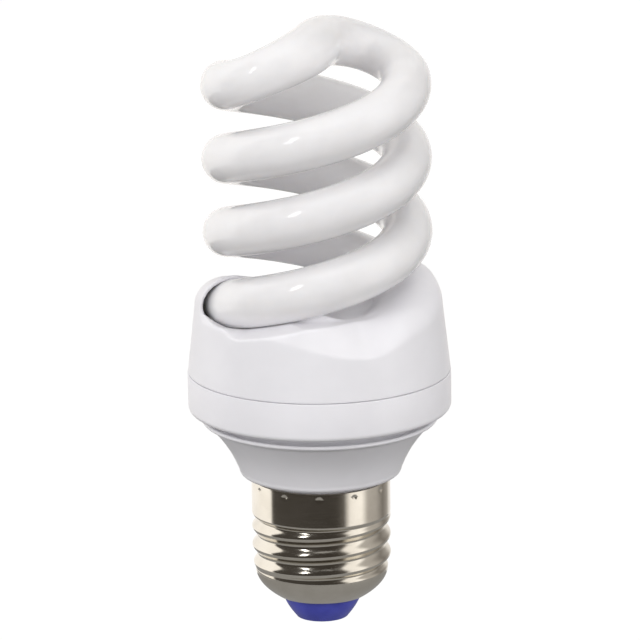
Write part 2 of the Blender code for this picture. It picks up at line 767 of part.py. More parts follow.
def make_silicone(first, number):
    """A bead of silicone under a tube end, against the cover's side."""
    white = material("silicone", (0.70, 0.70, 0.68), 0.6)
    inner = TUBE_RADIUS + GAP
    outer = inner + SILICONE_THICKNESS
    rings = []
    for i in range(SILICONE_STEPS + 1):
        angle = SILICONE_START_ANGLE + SILICONE_SPAN * i / SILICONE_STEPS
        bearing = angle + (math.pi if first else 0.0)
        level = strand_height(angle)
        section = []
        for reach, order in ((inner, 1), (outer, -1)):
            turns = [SILICONE_WRAP_START + (SILICONE_WRAP_END - SILICONE_WRAP_START) * k
                     / SILICONE_ARC_STEPS for k in range(SILICONE_ARC_STEPS + 1)]
            for turn in turns[::order]:
                section.append((SPIRAL_RADIUS + reach * math.cos(turn),
                                level + reach * math.sin(turn)))
        rings.append([polar(radius, bearing, height) for radius, height in section])
    return add_object(f"tube_silicone_{number}", skin(rings), white)


def pin_place(first, inner):
    """Where a wrap post stands on the board."""
    angle = -TAIL_ANGLE - PIN_BACKSET_ANGLE + (math.pi if first else 0.0)
    radius = SPIRAL_RADIUS + (-PIN_SPREAD / 2 if inner else PIN_SPREAD / 2)
    return polar(radius, angle, 0.0)


def make_wrap_pin(first, inner, number):
    """A square post pressed through the board."""
    tin = material("tinned_post", (0.70, 0.69, 0.66), 0.3, metallic=1.0)
    height = PIN_BELOW + BOARD_THICKNESS + PIN_ABOVE
    block = box((PIN_SIDE, PIN_SIDE, height), (0, 0, 0))
    pin = add_object(f"wrap_pin_{number}", block, tin)
    place = pin_place(first, inner)
    pin.location = (place.x, place.y, BOARD_FOOT - PIN_BELOW + height / 2)
    return pin


def make_filament_lead(first, inner, number):
    """A lead from the tube's sealed end, wrapped round its post."""
    copper = material("lead_wire", (0.72, 0.70, 0.66), 0.3, metallic=1.0)
    tip = strand_point(-TAIL_ANGLE, first)
    back = -strand_direction(-TAIL_ANGLE, first)
    outward = Vector((tip.x, tip.y, 0.0)).normalized()
    side = -WIRE_SPREAD / 2 if inner else WIRE_SPREAD / 2
    start = tip + outward * side + back * (TAIL_END_LENGTH + GAP)
    place = pin_place(first, inner)
    coil = PIN_SIDE * math.sqrt(2) / 2 + GAP + WIRE_RADIUS
    bearing = math.atan2(place.y, place.x)
    wrap_top = BOARD_TOP + PIN_ABOVE - WRAP_PITCH / 2
    touch = place + polar(coil, bearing, wrap_top)
    pull = touch + Vector((0, 0, WIRE_BEND)) / 2 - polar(coil, bearing - math.pi / 2, 0.0)
    points = bezier([start, start + back * WIRE_BEND, pull, touch], WIRE_STEPS)
    turns = math.ceil(WRAP_TURNS * WRAP_POINTS)
    for i in range(1, turns + 1):
        angle = bearing + TAU * i / WRAP_POINTS
        points.append(place + polar(coil, angle, wrap_top - WRAP_PITCH * i / WRAP_POINTS))
    return wire(f"filament_lead_{number}", points, WIRE_RADIUS, copper)


# Circuit board

def make_circuit_board():
    """The round board with a hole for each wrap post."""
    laminate = material("board_laminate", (0.30, 0.22, 0.08), 0.6)
    outline = [(0.0, BOARD_FOOT), (BOARD_RADIUS, BOARD_FOOT), (BOARD_RADIUS, BOARD_TOP),
               (0.0, BOARD_TOP)]
    board = turned("circuit_board", outline, BASE_SEGMENTS, laminate, closed=False)
    side = PIN_SIDE + 2 * GAP
    height = BOARD_THICKNESS + CUT_OVERRUN
    holes = []
    for first in (True, False):
        for inner in (True, False):
            place = pin_place(first, inner)
            holes.append(box((side, side, height), (place.x, place.y, (BOARD_FOOT + BOARD_TOP) / 2)))
    combine(board, add_object("post_holes", joined(holes), None), 'DIFFERENCE')
    return board


# Ballast parts

def board_place(shares):
    """A place under the board, from shares of its radius."""
    return Vector((BOARD_RADIUS * shares[0], BOARD_RADIUS * shares[1], 0.0))


def make_bulk_capacitor():
    """The tall smoothing capacitor that reaches down into the neck."""
    sleeve = material("capacitor_sleeve", (0.03, 0.03, 0.05), 0.35)
    foot = HANG_LEVEL - BULK_HEIGHT
    groove = HANG_LEVEL - 3 * BULK_EDGE
    outline = [(0.0, foot), (BULK_RADIUS - BULK_EDGE, foot), (BULK_RADIUS, foot + BULK_EDGE),
               (BULK_RADIUS, groove - BULK_EDGE), (BULK_RADIUS - BULK_GROOVE, groove),
               (BULK_RADIUS, groove + BULK_EDGE), (BULK_RADIUS, HANG_LEVEL - BULK_EDGE),
               (BULK_RADIUS - BULK_EDGE, HANG_LEVEL), (0.0, HANG_LEVEL)]
    can = turned("bulk_capacitor", outline, TOROID_SEGMENTS, sleeve, closed=False)
    can.location = board_place(BULK_PLACE_SHARES)
    return can


def choke_place():
    """The choke's middle, hung against the board."""
    return board_place(CHOKE_PLACE_SHARES) + Vector((0, 0, HANG_LEVEL - CHOKE_HEIGHT / 2))


def core_half(name, flip, mat):
    """One E-shaped ferrite half of the choke, its legs towards the middle."""
    half = CHOKE_WIDTH / 2
    window_edge = half - CHOKE_LEG
    centre = CHOKE_CENTRE / 2
    top = CHOKE_HEIGHT / 2
    back = top - CHOKE_LEG
    meet = GAP / 2
    outline = [(-half, top), (-half, meet), (-window_edge, meet), (-window_edge, back),
               (-centre, back), (-centre, meet), (centre, meet), (centre, back),
               (window_edge, back), (window_edge, meet), (half, meet), (half, top)]
    sign = -1 if flip else 1
    rings = [[Vector((x, y, sign * z)) for y, z in outline]
             for x in (-CHOKE_DEPTH / 2, CHOKE_DEPTH / 2)]
    core = add_object(name, skin(rings), mat)
    core.location = choke_place()
    return core


def spool(name, profile, corner_steps, mat):
    """A ring that follows the choke's centre leg, from (offset, height) points."""
    rings = []
    half_x = CHOKE_DEPTH / 2
    half_y = CHOKE_CENTRE / 2
    for offset, height in profile:
        ring = []
        for quarter, (sx, sy) in enumerate(((1, 1), (-1, 1), (-1, -1), (1, -1))):
            for step in range(corner_steps + 1):
                turn = math.pi / 2 * (quarter + step / corner_steps)
                ring.append(Vector((sx * half_x + offset * math.cos(turn),
                                    sy * half_y + offset * math.sin(turn), height)))
        rings.append(ring)
    body = add_object(name, skin(rings, looped=True), mat)
    body.location = choke_place()
    return body


def make_choke():
    """The ballast choke: two ferrite halves, bobbin and winding."""
    ferrite = material("ferrite", (0.05, 0.05, 0.05), 0.55)
    core_half("choke_core_upper", False, ferrite)
    core_half("choke_core_lower", True, ferrite)
    nylon = material("bobbin_nylon", (0.06, 0.06, 0.07), 0.5)
    top = CHOKE_HEIGHT / 2 - CHOKE_LEG - GAP
    flange = WINDOW - GAP
    tube = GAP + BOBBIN_WALL
    shelf = top - BOBBIN_WALL
    spool("choke_bobbin", [(GAP, top), (flange, top), (flange, shelf), (tube, shelf),
                           (tube, -shelf), (flange, -shelf), (flange, -top), (GAP, -top)],
          1, nylon)
    enamel = material("winding_enamel", (0.45, 0.16, 0.05), 0.3, metallic=0.6)
    inner = tube + GAP
    outer = flange - BOBBIN_WALL / 2
    end = shelf - GAP
    spool("choke_winding", [(inner, end), (outer, end), (outer, -end), (inner, -end)], 2, enamel)


def make_toroid():
    """The drive transformer: a ferrite ring with two windings."""
    ferrite = material("toroid_ferrite", (0.12, 0.16, 0.12), 0.5)
    place = board_place(TOROID_PLACE_SHARES)
    margin = GAP + 2 * WINDING_RADIUS + GAP
    level = HANG_LEVEL - margin - TOROID_HEIGHT / 2
    half = TOROID_HEIGHT / 2
    outline = [(TOROID_BORE, half - TOROID_BEVEL), (TOROID_BORE + TOROID_BEVEL, half),
               (TOROID_RADIUS - TOROID_BEVEL, half), (TOROID_RADIUS, half - TOROID_BEVEL),
               (TOROID_RADIUS, TOROID_BEVEL - half), (TOROID_RADIUS - TOROID_BEVEL, -half),
               (TOROID_BORE + TOROID_BEVEL, -half), (TOROID_BORE, TOROID_BEVEL - half)]
    ring = turned("toroid_core", outline, TOROID_SEGMENTS, ferrite)
    ring.location = (place.x, place.y, level)
    enamel = material("toroid_wire", (0.55, 0.06, 0.04), 0.35)
    middle = (TOROID_RADIUS + TOROID_BORE) / 2
    offset = GAP + WINDING_RADIUS
    reach_r = (TOROID_RADIUS - TOROID_BORE) / 2 + offset
    reach_z = half + offset
    around = ((0, 1), (1, 1), (1, 0), (1, -1), (0, -1), (-1, -1), (-1, 0), (-1, 1))
    for number in (1, 2):
        points = []
        count = WINDING_TURNS * len(around)
        for i in range(count + 1):
            out, up = around[i % len(around)]
            bearing = math.pi * (number - 1) + WINDING_SPAN * (i / count - 0.5)
            points.append(polar(middle + reach_r * out, bearing, level + reach_z * up) + place)
        wire(f"toroid_winding_{number}", points, WINDING_RADIUS, enamel)


def make_transistor(number, side):
    """A flat power transistor standing on three legs, with its fixing hole."""
    epoxy = material("transistor_epoxy", (0.03, 0.03, 0.03), 0.5)
    top = HANG_LEVEL - TRANSISTOR_LEG_LENGTH
    middle = top - TRANSISTOR_HEIGHT / 2
    body = box((TRANSISTOR_WIDTH, TRANSISTOR_THICKNESS, TRANSISTOR_HEIGHT), (0, 0, middle))
    transistor = add_object(f"transistor_{number}", body, epoxy)
    legs = []
    length = TRANSISTOR_LEG_LENGTH + TRANSISTOR_THICKNESS / 2
    for i in (-1, 0, 1):
        legs.append(box((TRANSISTOR_LEG, TRANSISTOR_LEG, length),
                        (i * TRANSISTOR_LEG_PITCH, 0, HANG_LEVEL - length / 2)))
    combine(transistor, add_object("legs", joined(legs), None), 'UNION')
    hole = bmesh.new()
    bmesh.ops.create_cone(hole, cap_ends=True, segments=TRANSISTOR_HOLE_SIDES, radius1=TRANSISTOR_HOLE,
                          radius2=TRANSISTOR_HOLE, depth=2 * TRANSISTOR_THICKNESS,
                          matrix=Matrix.Rotation(math.pi / 2, 4, 'X'))
    bmesh.ops.translate(hole, verts=hole.verts,
                        vec=(0, 0, top - TRANSISTOR_HEIGHT + 2 * TRANSISTOR_HOLE))
    combine(transistor, add_object("fixing_hole", hole, None), 'DIFFERENCE')
    along, across = TRANSISTOR_PLACE_SHARES
    transistor.location = board_place((along, side * across))
    return transistor


def make_film_capacitor(name, size, place, colour):
    """A dipped film capacitor: a rounded block on two legs."""
    width_x, width_y, height = size
    resin = material(name + "_resin", colour, 0.35)
    top = HANG_LEVEL - STANDOFF
    body = box((width_x, width_y, height), (0, 0, top - height / 2))
    bmesh.ops.bevel(body, geom=list(body.edges), offset=FILM_BEVEL, segments=2, profile=0.5,
                    affect='EDGES')
    capacitor = add_object(name, body, resin)
    legs = []
    length = STANDOFF + FILM_BEVEL
    spread = max(width_x, width_y) / 2 - 2 * FILM_BEVEL
    for i in (-1, 1):
        along = (i * spread, 0) if width_x > width_y else (0, i * spread)
        legs.append(box((2 * LEG_RADIUS, 2 * LEG_RADIUS, length),
                        (*along, HANG_LEVEL - length / 2)))
    combine(capacitor, add_object("legs", joined(legs), None), 'UNION')
    capacitor.location = place
    return capacitor


def make_drum_choke():
    """The small filter choke: a ferrite drum and the wire on its waist."""
    ferrite = material("drum_ferrite", (0.06, 0.06, 0.06), 0.55)
    place = board_place(DRUM_PLACE_SHARES)
    foot = HANG_LEVEL - DRUM_HEIGHT
    outline = [(0.0, foot), (DRUM_RADIUS, foot), (DRUM_RADIUS, foot + DRUM_FLANGE),
               (DRUM_RADIUS - DRUM_WAIST, foot + DRUM_FLANGE),
               (DRUM_RADIUS - DRUM_WAIST, HANG_LEVEL - DRUM_FLANGE),
               (DRUM_RADIUS, HANG_LEVEL - DRUM_FLANGE), (DRUM_RADIUS, HANG_LEVEL),
               (0.0, HANG_LEVEL)]
    drum = turned("filter_choke_core", outline, TOROID_SEGMENTS, ferrite, closed=False)
    drum.location = place
    enamel = material("drum_wire", (0.45, 0.16, 0.05), 0.3, metallic=0.6)
    inner = DRUM_RADIUS - DRUM_WAIST + GAP
    low = foot + DRUM_FLANGE + GAP
    high = HANG_LEVEL - DRUM_FLANGE - GAP
    turns = turned("filter_choke_winding", [(inner, low), (DRUM_RADIUS, low),
                                            (DRUM_RADIUS, high), (inner, high)],
                   TOROID_SEGMENTS, enamel)
    turns.location = place


def make_axial(name, radius, length, place, bearing, mat):
    """A part lying under the board on two bent legs."""
    level = HANG_LEVEL - radius - GAP
    end = length / 2 + AXIAL_LEG_REACH
    line = [(-end, HANG_LEVEL, LEG_RADIUS), (-end, level, LEG_RADIUS),
            (-length / 2, level, LEG_RADIUS), (-length / 2, level, radius),
            (length / 2, level, radius), (length / 2, level, LEG_RADIUS),
            (end, level, LEG_RADIUS), (end, HANG_LEVEL, LEG_RADIUS)]
    rings = []
    for i, (along, height, reach) in enumerate(line):
        upright = i in (0, len(line) - 1)
        corner = i in (1, len(line) - 2)
        lean = 1 if i < len(line) / 2 else -1
        ring = []
        for k in range(ROUND_SIDES):
            turn = TAU * k / ROUND_SIDES
            across = reach * math.cos(turn)
            up = reach * math.sin(turn)
            if upright:
                ring.append(Vector((along + lean * up, across, height)))
            elif corner:
                ring.append(Vector((along + lean * up, across, height + up)))
            else:
                ring.append(Vector((along, across, height + up)))
        rings.append(ring)
    part = add_object(name, skin(rings), mat)
    part.location = place
    part.rotation_euler = (0, 0, bearing)
    return part


def make_axial_parts():
    """Rectifier diodes, resistors and the trigger diode."""
    black = material("diode_body", (0.03, 0.03, 0.03), 0.4)
    for number, shares in enumerate(DIODE_PLACE_SHARES, 1):
        make_axial(f"rectifier_diode_{number}", DIODE_RADIUS, DIODE_LENGTH,
                   board_place(shares), 0.0, black)
    tan = material("resistor_body", (0.55, 0.42, 0.24), 0.4)
    for number, (x_share, y_share, turn) in enumerate(RESISTOR_PLACE_SHARES, 1):
        make_axial(f"resistor_{number}", RESISTOR_RADIUS, RESISTOR_LENGTH,
                   board_place((x_share, y_share)), TAU * turn, tan)
    blue = material("trigger_diode_body", (0.05, 0.12, 0.42), 0.3)
    make_axial("trigger_diode", DIAC_RADIUS, DIAC_LENGTH, board_place(DIAC_PLACE_SHARES),
               0.0, blue)


# Supply leads

def make_supply_leads():
    """The fusible resistor in the cap and the two supply leads."""
    sleeve = material("fuse_sleeve", (0.62, 0.62, 0.58), 0.5)
    foot = STEM_TOP + GAP
    low = foot + FUSE_LEG_LENGTH
    high = low + FUSE_LENGTH
    head = high + FUSE_LEG_LENGTH
    outline = [(0.0, foot), (LEG_RADIUS, foot), (LEG_RADIUS, low), (FUSE_RADIUS, low),
               (FUSE_RADIUS, high), (LEG_RADIUS, high), (LEG_RADIUS, head), (0.0, head)]
    turned("fusible_resistor", outline, ROUND_SIDES, sleeve, closed=False)
    place = Vector(LEAD_PLACE_SHARES) * NECK_BORE
    red = material("live_lead_sleeve", (0.45, 0.03, 0.03), 0.45)
    start = Vector((place.x, -place.y, HANG_LEVEL))
    turn_in = Vector((place.x, -place.y, NECK_FOOT))
    end = Vector((0, 0, head + GAP))
    rise = Vector((0, 0, NECK_DEPTH))
    live = [start] + bezier([turn_in + rise, turn_in, end + rise, end], WIRE_STEPS)
    wire("live_lead", live, LEAD_RADIUS, red)
    black = material("neutral_lead_sleeve", (0.03, 0.03, 0.03), 0.45)
    start = Vector((place.x, place.y, HANG_LEVEL))
    outward = Vector((place.x, place.y, 0.0)).normalized()
    wall = CAP_RADIUS - CAP_WALL - THREAD_DEPTH
    end = outward * (wall - GAP) + Vector((0, 0, THREAD_TOP - THREAD_PITCH))
    turn_out = Vector((place.x, place.y, NECK_FOOT))
    bend = NECK_DEPTH / 2
    rise = Vector((0, 0, bend))
    neutral = [start] + bezier([turn_out + rise, turn_out - rise, end - outward * bend, end],
                               WIRE_STEPS)
    wire("neutral_lead", neutral, LEAD_RADIUS, black)


def main():
    """Build every piece of the lamp."""
    clear_scene()
    make_spiral_tube()
    make_top_cover()
    make_base_housing()
    make_cap_shell()
    make_cap_insulator()
    make_centre_contact()
    make_circuit_board()
    number = 0
    for first in (True, False):
        make_silicone(first, 1 if first else 2)
        for inner in (True, False):
            number += 1
            make_wrap_pin(first, inner, number)
            make_filament_lead(first, inner, number)
    make_bulk_capacitor()
    make_choke()
    make_toroid()
    make_transistor(1, 1)
    make_transistor(2, -1)
    make_film_capacitor("resonant_capacitor", (RESONANT_THICKNESS, RESONANT_WIDTH, RESONANT_HEIGHT),
                        board_place(RESONANT_PLACE_SHARES), (0.40, 0.10, 0.05))
    make_film_capacitor("coupling_capacitor", (COUPLING_WIDTH, COUPLING_THICKNESS, COUPLING_HEIGHT),
                        board_place(COUPLING_PLACE_SHARES), (0.10, 0.28, 0.10))
    make_drum_choke()
    make_axial_parts()
    make_supply_leads()


main()
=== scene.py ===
"""Compact fluorescent lamp, dressed for a studio picture.

Units are metres and +Z is up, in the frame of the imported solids: the origin is
the flat end of the centre contact and the photographed side is -Y.
"""
import json
import math

import bmesh
import bpy
from mathutils import Matrix, Vector


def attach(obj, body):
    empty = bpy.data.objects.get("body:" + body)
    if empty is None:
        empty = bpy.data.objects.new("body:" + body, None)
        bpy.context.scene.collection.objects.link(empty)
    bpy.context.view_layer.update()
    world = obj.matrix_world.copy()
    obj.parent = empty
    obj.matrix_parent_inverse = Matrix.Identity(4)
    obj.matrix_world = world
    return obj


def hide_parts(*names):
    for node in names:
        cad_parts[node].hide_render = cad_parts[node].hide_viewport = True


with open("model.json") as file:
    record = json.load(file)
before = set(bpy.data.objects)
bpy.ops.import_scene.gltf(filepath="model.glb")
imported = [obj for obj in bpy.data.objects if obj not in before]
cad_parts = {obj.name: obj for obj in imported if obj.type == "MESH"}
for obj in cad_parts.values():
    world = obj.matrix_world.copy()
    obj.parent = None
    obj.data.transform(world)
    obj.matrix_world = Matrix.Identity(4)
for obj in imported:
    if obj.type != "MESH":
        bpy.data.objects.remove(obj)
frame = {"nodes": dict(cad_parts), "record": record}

TAU = 2 * math.pi
BODY = "root"
MM = 0.001
MERGE_DISTANCE = 0.001 * MM
CREASE = 40

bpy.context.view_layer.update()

# Glass tube
TUBE_RADIUS = 4.75 * MM
BRIDGE_RADIUS = 4.35 * MM
CROWN_RADIUS = 4.85 * MM
SPIRAL_RADIUS = 16.8 * MM
SPIRAL_LEAD = 28.2 * MM
SPIRAL_TURNS = 1.5
SPIRAL_START = 61.6 * MM
TAIL_ANGLE = math.radians(60)
TAIL_END = 3.5 * MM
BRIDGE_START = math.radians(-3)
BRIDGE_LEAD_OUT = 5.8 * MM
BRIDGE_TURN_REACH = 14.9 * MM
BRIDGE_TURN_INSET = 1.2 * MM
BRIDGE_TURN_DROP = 1.6 * MM
BRIDGE_CROWN_REACH = 13.5 * MM
BRIDGE_CROWN_ANGLE = math.radians(256.6)
BRIDGE_CROWN_RISE = 7.48 * MM
TUBE_STEP = math.radians(2.5)
TUBE_BRIDGE_STEPS = 48
TUBE_SIDES = 72
SEAL_STEPS = 12
SEAL_WIDTH_SHARE = 0.25

# Top cover
COVER_FOOT = 49.0 * MM
COVER_FOOT_RADIUS = 24.75 * MM
COVER_TOP = 62.0 * MM
COVER_TOP_RADIUS = 23.3 * MM
COVER_WALL = 0.75 * MM
HOOD_INNER_REACH = 6.3 * MM
HOOD_CREST = 5.6 * MM
HUB_LEVEL = 62.4 * MM
HUB_CROWN = 0.2 * MM
TAIL_HOLD = math.radians(-60)
RAMP_START = math.radians(62)
RAMP_END = math.radians(112)
RAMP_LEVEL = 60.5 * MM
RIM_START = math.radians(80)
RIM_OUTER_RADIUS = 22.8 * MM
RIM_INNER_RADIUS = 17.9 * MM
RIM_FADE = math.radians(138)
MOUTH_ANGLE = math.radians(18)
MOUTH_REACH = 5.8 * MM
MOUTH_RISE = 4.65 * MM
MOUTH_DROP = 4.9 * MM
TROUGH_RADIUS = 4.95 * MM
TROUGH_SPAN = math.radians(150)
TROUGH_BANK = math.radians(4)
TROUGH_INNER_RADIUS = 8.3 * MM
LEDGE_DROP = 5.9 * MM
LEDGE_TURN = math.radians(12)
LEDGE_RADIUS = 23.0 * MM
LIP_HEIGHT = 2.4 * MM
LIP_FULL_ANGLE = math.radians(36)
LIP_END_ANGLE = math.radians(50)
CHEEK_HEIGHT = 2.5 * MM
CHEEK_END_ANGLE = math.radians(37)
CHEEK_TURN = math.radians(28)
COVER_SEGMENTS = 160
HOOD_STEPS = 64
TROUGH_STEPS = 96
TROUGH_ARC_STEPS = 16
MOUTH_SEGMENTS = 64
COVER_VOXEL = 0.32 * MM
COVER_SMOOTHING = 4
COVER_SMOOTHING_FACTOR = 0.5
COVER_CREASE = 50
SHOULDER_LEAST_WIDTH = 1.0 * MM
MOUTH_BITE = 3 * COVER_WALL
HAIR_ANGLE = 1e-9
CUT_OVERRUN = 4.0 * MM

# Base housing
SEAM_LEVEL = 48.9 * MM
SEAM_GAP = 0.12 * MM
SEAM_EDGE = 0.12 * MM
SEAM_CLEARANCE = 0.02 * MM
SEAM_DEPTH = 0.7 * MM
BAND_RADIUS = 24.84 * MM
BAND_FOOT = 42.5 * MM
BASE_WALL = 1.2 * MM
CORNER_WIDTH = 0.7 * MM
CORNER_DEPTH = 1.0 * MM
GROOVE_RADIUS = 19.3 * MM
GROOVE_FOOT = 39.1 * MM
LIP_TOP = 39.95 * MM
GROOVE_CORNER = 0.25 * MM
LIP_RADIUS = 22.3 * MM
LIP_ROUND = 0.4 * MM
LIP_TUCK = 0.35 * MM
LIP_TUCK_RISE = 0.25 * MM
FUNNEL_LIP_RADIUS = 20.9 * MM
FUNNEL_LIP_LEVEL = 38.6 * MM
FUNNEL_FOOT_RADIUS = 15.4 * MM
FUNNEL_HOLLOW = 0.6 * MM
FOOT_LEVEL = 28.7 * MM
FOOT_CHAMFER = 1.1 * MM
NECK_RADIUS = 12.35 * MM
NECK_BORE = 10.85 * MM
NECK_FOOT = 22.4 * MM
TONGUE_RADIUS = 23.25 * MM
TONGUE_BORE = 22.25 * MM
TONGUE_TOP = 51.75 * MM
TONGUE_ROOT = 2.5 * MM
BASE_SEGMENTS = 256
BAND_CORNER_STEPS = 12
FUNNEL_STEPS = 28

# Screw cap
CAP_RIM = 28.0 * MM
CAP_RADIUS = 13.15 * MM
CAP_WALL = 0.5 * MM
THREAD_TOP = 21.2 * MM
THREAD_PITCH = 3.62 * MM
THREAD_TURNS = 3.1
THREAD_DEPTH = 0.95 * MM
THREAD_CREST = 18.3 * MM
THREAD_RUNOUT = 1.2 * MM
CAP_FOOT = 4.9 * MM
CAP_FOOT_RADIUS = 8.5 * MM
CAP_SHOULDER_RADIUS = 12.55 * MM
CAP_SHOULDER_RISE = 3.0 * MM
CAP_LIP = 0.7 * MM
CAP_COLUMNS = 288
CAP_ROW = 0.16 * MM
TAPER_STEPS = 24
CRIMP_COUNT = 12
CRIMP_DROP = 1.2 * MM
CRIMP_RADIUS = 0.7 * MM
CRIMP_DEPTH = 0.26 * MM
CRIMP_OFFSET_SHARE = 0.05
RIM_ROUND = 0.25 * MM

# Tip and contact
TIP_THROAT_RADIUS = 7.5 * MM
TIP_END_RADIUS = 4.9 * MM
TIP_END = 0.35 * MM
TIP_BULGE = 0.25 * MM
TIP_FLANGE = 2.4 * MM
CONTACT_RADIUS = 3.9 * MM
CONTACT_THICKNESS = 0.95 * MM
CONTACT_EDGE = 0.3 * MM
STEM_RADIUS = 1.2 * MM
STEM_TOP = 6.95 * MM
FIT = 0.3 * MM
TIP_SEGMENTS = 128
TIP_STEPS = 24

# Camera: 1.2 m away, 15.2 degrees above the lamp's middle, with a long lens
CAMERA_DISTANCE = 1.2
CAMERA_ELEVATION = math.radians(15.2)
CAMERA_ROLL = math.radians(-0.75)
CAMERA_AIM = Vector((0.24 * MM, 0.0, 58.32 * MM))
CAMERA_LENS = 358.8
CAMERA_SENSOR = 36.0
CAMERA_NEAR = 0.05
CAMERA_FAR = 20.0

# Light
AMBIENT = 0.55
FLOOR_COLOUR = (0.12, 0.117, 0.114)
FLOOR_GLOW = 0.9
FLOOR_SHEEN = 0.19
FLOOR_SIZE = 3.0
FLOOR_LEVEL = -0.15
REFLECTOR_DISTANCE = 0.45
REFLECTOR_FOOT = -0.16
REFLECTOR_TOP = 0.80
REFLECTOR_STEPS = 96
REFLECTOR_STRENGTH = 1.3
# (azimuth in degrees, tone, warmth); azimuth 0 is the camera's side and 90 the right
REFLECTOR_TONES = ((-180, 0.80, 0.97), (-120, 0.95, 0.97), (-91, 1.0, 0.97), (-88, 0.055, 0.90),
                   (10, 0.040, 0.88), (26, 0.045, 0.88), (38, 0.10, 0.92), (48, 0.90, 0.97),
                   (70, 1.0, 0.97), (82, 0.42, 0.95), (102, 0.38, 0.95), (122, 0.18, 0.93),
                   (140, 0.32, 0.95), (152, 0.70, 0.97), (180, 0.80, 0.97))
# (name, azimuth, elevation, power): large lamps that light the object and make no highlight
SOFTBOXES = (("left_softbox", -62, 14, 4.7), ("right_softbox", 58, 14, 4.6),
             ("front_softbox", 0, 24, 2.2))
SOFTBOX_DISTANCE = 1.1
SOFTBOX_WIDTH = 0.55
SOFTBOX_HEIGHT = 0.8
# The small lamp that makes the sparks; it stands inside the reflection wall
KEY_AZIMUTH = -38
KEY_ELEVATION = 38
KEY_DISTANCE = 0.42
KEY_WIDTH = 0.056
KEY_HEIGHT = 0.13
KEY_POWER = 0.14


# Mesh helpers

def polar(radius, bearing, height):
    """A point given by its distance from the axis, its bearing and its height."""
    return Vector((radius * math.cos(bearing), radius * math.sin(bearing), height))


def bezier(guides, steps):
    """Points along one smooth curve, from its guide points."""
    points = []
    for i in range(steps + 1):
        share = i / steps
        level = list(guides)
        while len(level) > 1:
            level = [near.lerp(far, share) for near, far in zip(level, level[1:])]
        points.append(level[0])
    return points


def arc(centre, radius, start, end, steps):
    """Points of a round corner in a (radius, height) outline, angles in degrees."""
    points = []
    for i in range(steps + 1):
        turn = math.radians(start + (end - start) * i / steps)
        points.append((centre[0] + radius * math.cos(turn), centre[1] + radius * math.sin(turn)))
    return points


def smooth_rise(value, start, end):
    """A smooth rise from 0 where the value is at start to 1 at end."""
    share = min(1.0, max(0.0, (value - start) / (end - start)))
    return share * share * (3 - 2 * share)


def new_object(name, bm, smooth=True):
    """Merge doubles, point the faces outward and put the mesh in the scene."""
    bmesh.ops.remove_doubles(bm, verts=bm.verts, dist=MERGE_DISTANCE)
    bmesh.ops.recalc_face_normals(bm, faces=bm.faces)
    mesh = bpy.data.meshes.new(name)
    bm.to_mesh(mesh)
    bm.free()
    if smooth:
        mesh.shade_smooth()
    piece = bpy.data.objects.new(name, mesh)
    bpy.context.scene.collection.objects.link(piece)
    return piece


def turned(name, outline, segments, closed=True):
    """Spin an outline of (radius, height) points about the lamp's axis."""
    bm = bmesh.new()
    verts = [bm.verts.new((radius, 0.0, height)) for radius, height in outline]
    edges = [bm.edges.new(pair) for pair in zip(verts, verts[1:])]
    if closed:
        edges.append(bm.edges.new((verts[-1], verts[0])))
    bmesh.ops.spin(bm, geom=verts + edges, cent=(0, 0, 0), axis=(0, 0, 1),
                   angle=TAU, steps=segments, use_merge=True)
    return new_object(name, bm)


def skin(rings, bm=None):
    """Join rings of equally many points into one closed skin with flat ends."""
    bm = bm or bmesh.new()
    loops = [[bm.verts.new(point) for point in ring] for ring in rings]
    for near, far in zip(loops, loops[1:]):
        for i in range(len(near)):
            j = (i + 1) % len(near)
            bm.faces.new((near[i], near[j], far[j], far[i]))
    bm.faces.new(loops[0])
    bm.faces.new(reversed(loops[-1]))
    return bm


def applied(piece):
    """Turn a piece's modifiers into plain mesh."""
    bpy.context.view_layer.update()
    shaped = piece.evaluated_get(bpy.context.evaluated_depsgraph_get())
    mesh = bpy.data.meshes.new_from_object(shaped)
    piece.modifiers.clear()
    piece.data = mesh
    return piece


def cut(piece, tool):
    """Cut one closed mesh out of another and drop the tool."""
    step = piece.modifiers.new("cut", 'BOOLEAN')
    step.operation = 'DIFFERENCE'
    step.solver = 'EXACT'
    step.object = tool
    applied(piece)
    bpy.data.objects.remove(tool, do_unlink=True)


def keep_sharp(piece, degrees):
    """Smooth shading that breaks at edges sharper than an angle."""
    piece.data.shade_smooth()
    piece.data.set_sharp_from_angle(angle=math.radians(degrees))


# Node trees

def tree_inputs(tree, inputs):
    """Give a geometry tree its named sockets, and return its group input."""
    tree.interface.new_socket("Geometry", in_out='INPUT', socket_type='NodeSocketGeometry')
    for name, kind in inputs:
        tree.interface.new_socket(name, in_out='INPUT', socket_type=kind)
    tree.interface.new_socket("Geometry", in_out='OUTPUT', socket_type='NodeSocketGeometry')
    return tree.nodes.new('NodeGroupInput')


def finish_tree(tree, geometry, source):
    """End a tree: smooth faces, realized instances and the material."""
    smooth = tree.nodes.new('GeometryNodeSetShadeSmooth')
    realize = tree.nodes.new('GeometryNodeRealizeInstances')
    paint = tree.nodes.new('GeometryNodeSetMaterial')
    out = tree.nodes.new('NodeGroupOutput')
    tree.links.new(geometry, smooth.inputs["Geometry"])
    tree.links.new(smooth.outputs["Geometry"], realize.inputs["Geometry"])
    tree.links.new(realize.outputs["Geometry"], paint.inputs["Geometry"])
    tree.links.new(source.outputs["Material"], paint.inputs["Material"])
    tree.links.new(paint.outputs["Geometry"], out.inputs["Geometry"])


def run_tree(piece, tree, values):
    """Run a geometry tree on a piece, with values by input name, and keep the mesh."""
    step = piece.modifiers.new(tree.name, 'NODES')
    step.node_group = tree
    for item in tree.interface.items_tree:
        if item.item_type == 'SOCKET' and item.in_out == 'INPUT' and item.name in values:
            step[item.identifier] = values[item.name]
    return applied(piece)


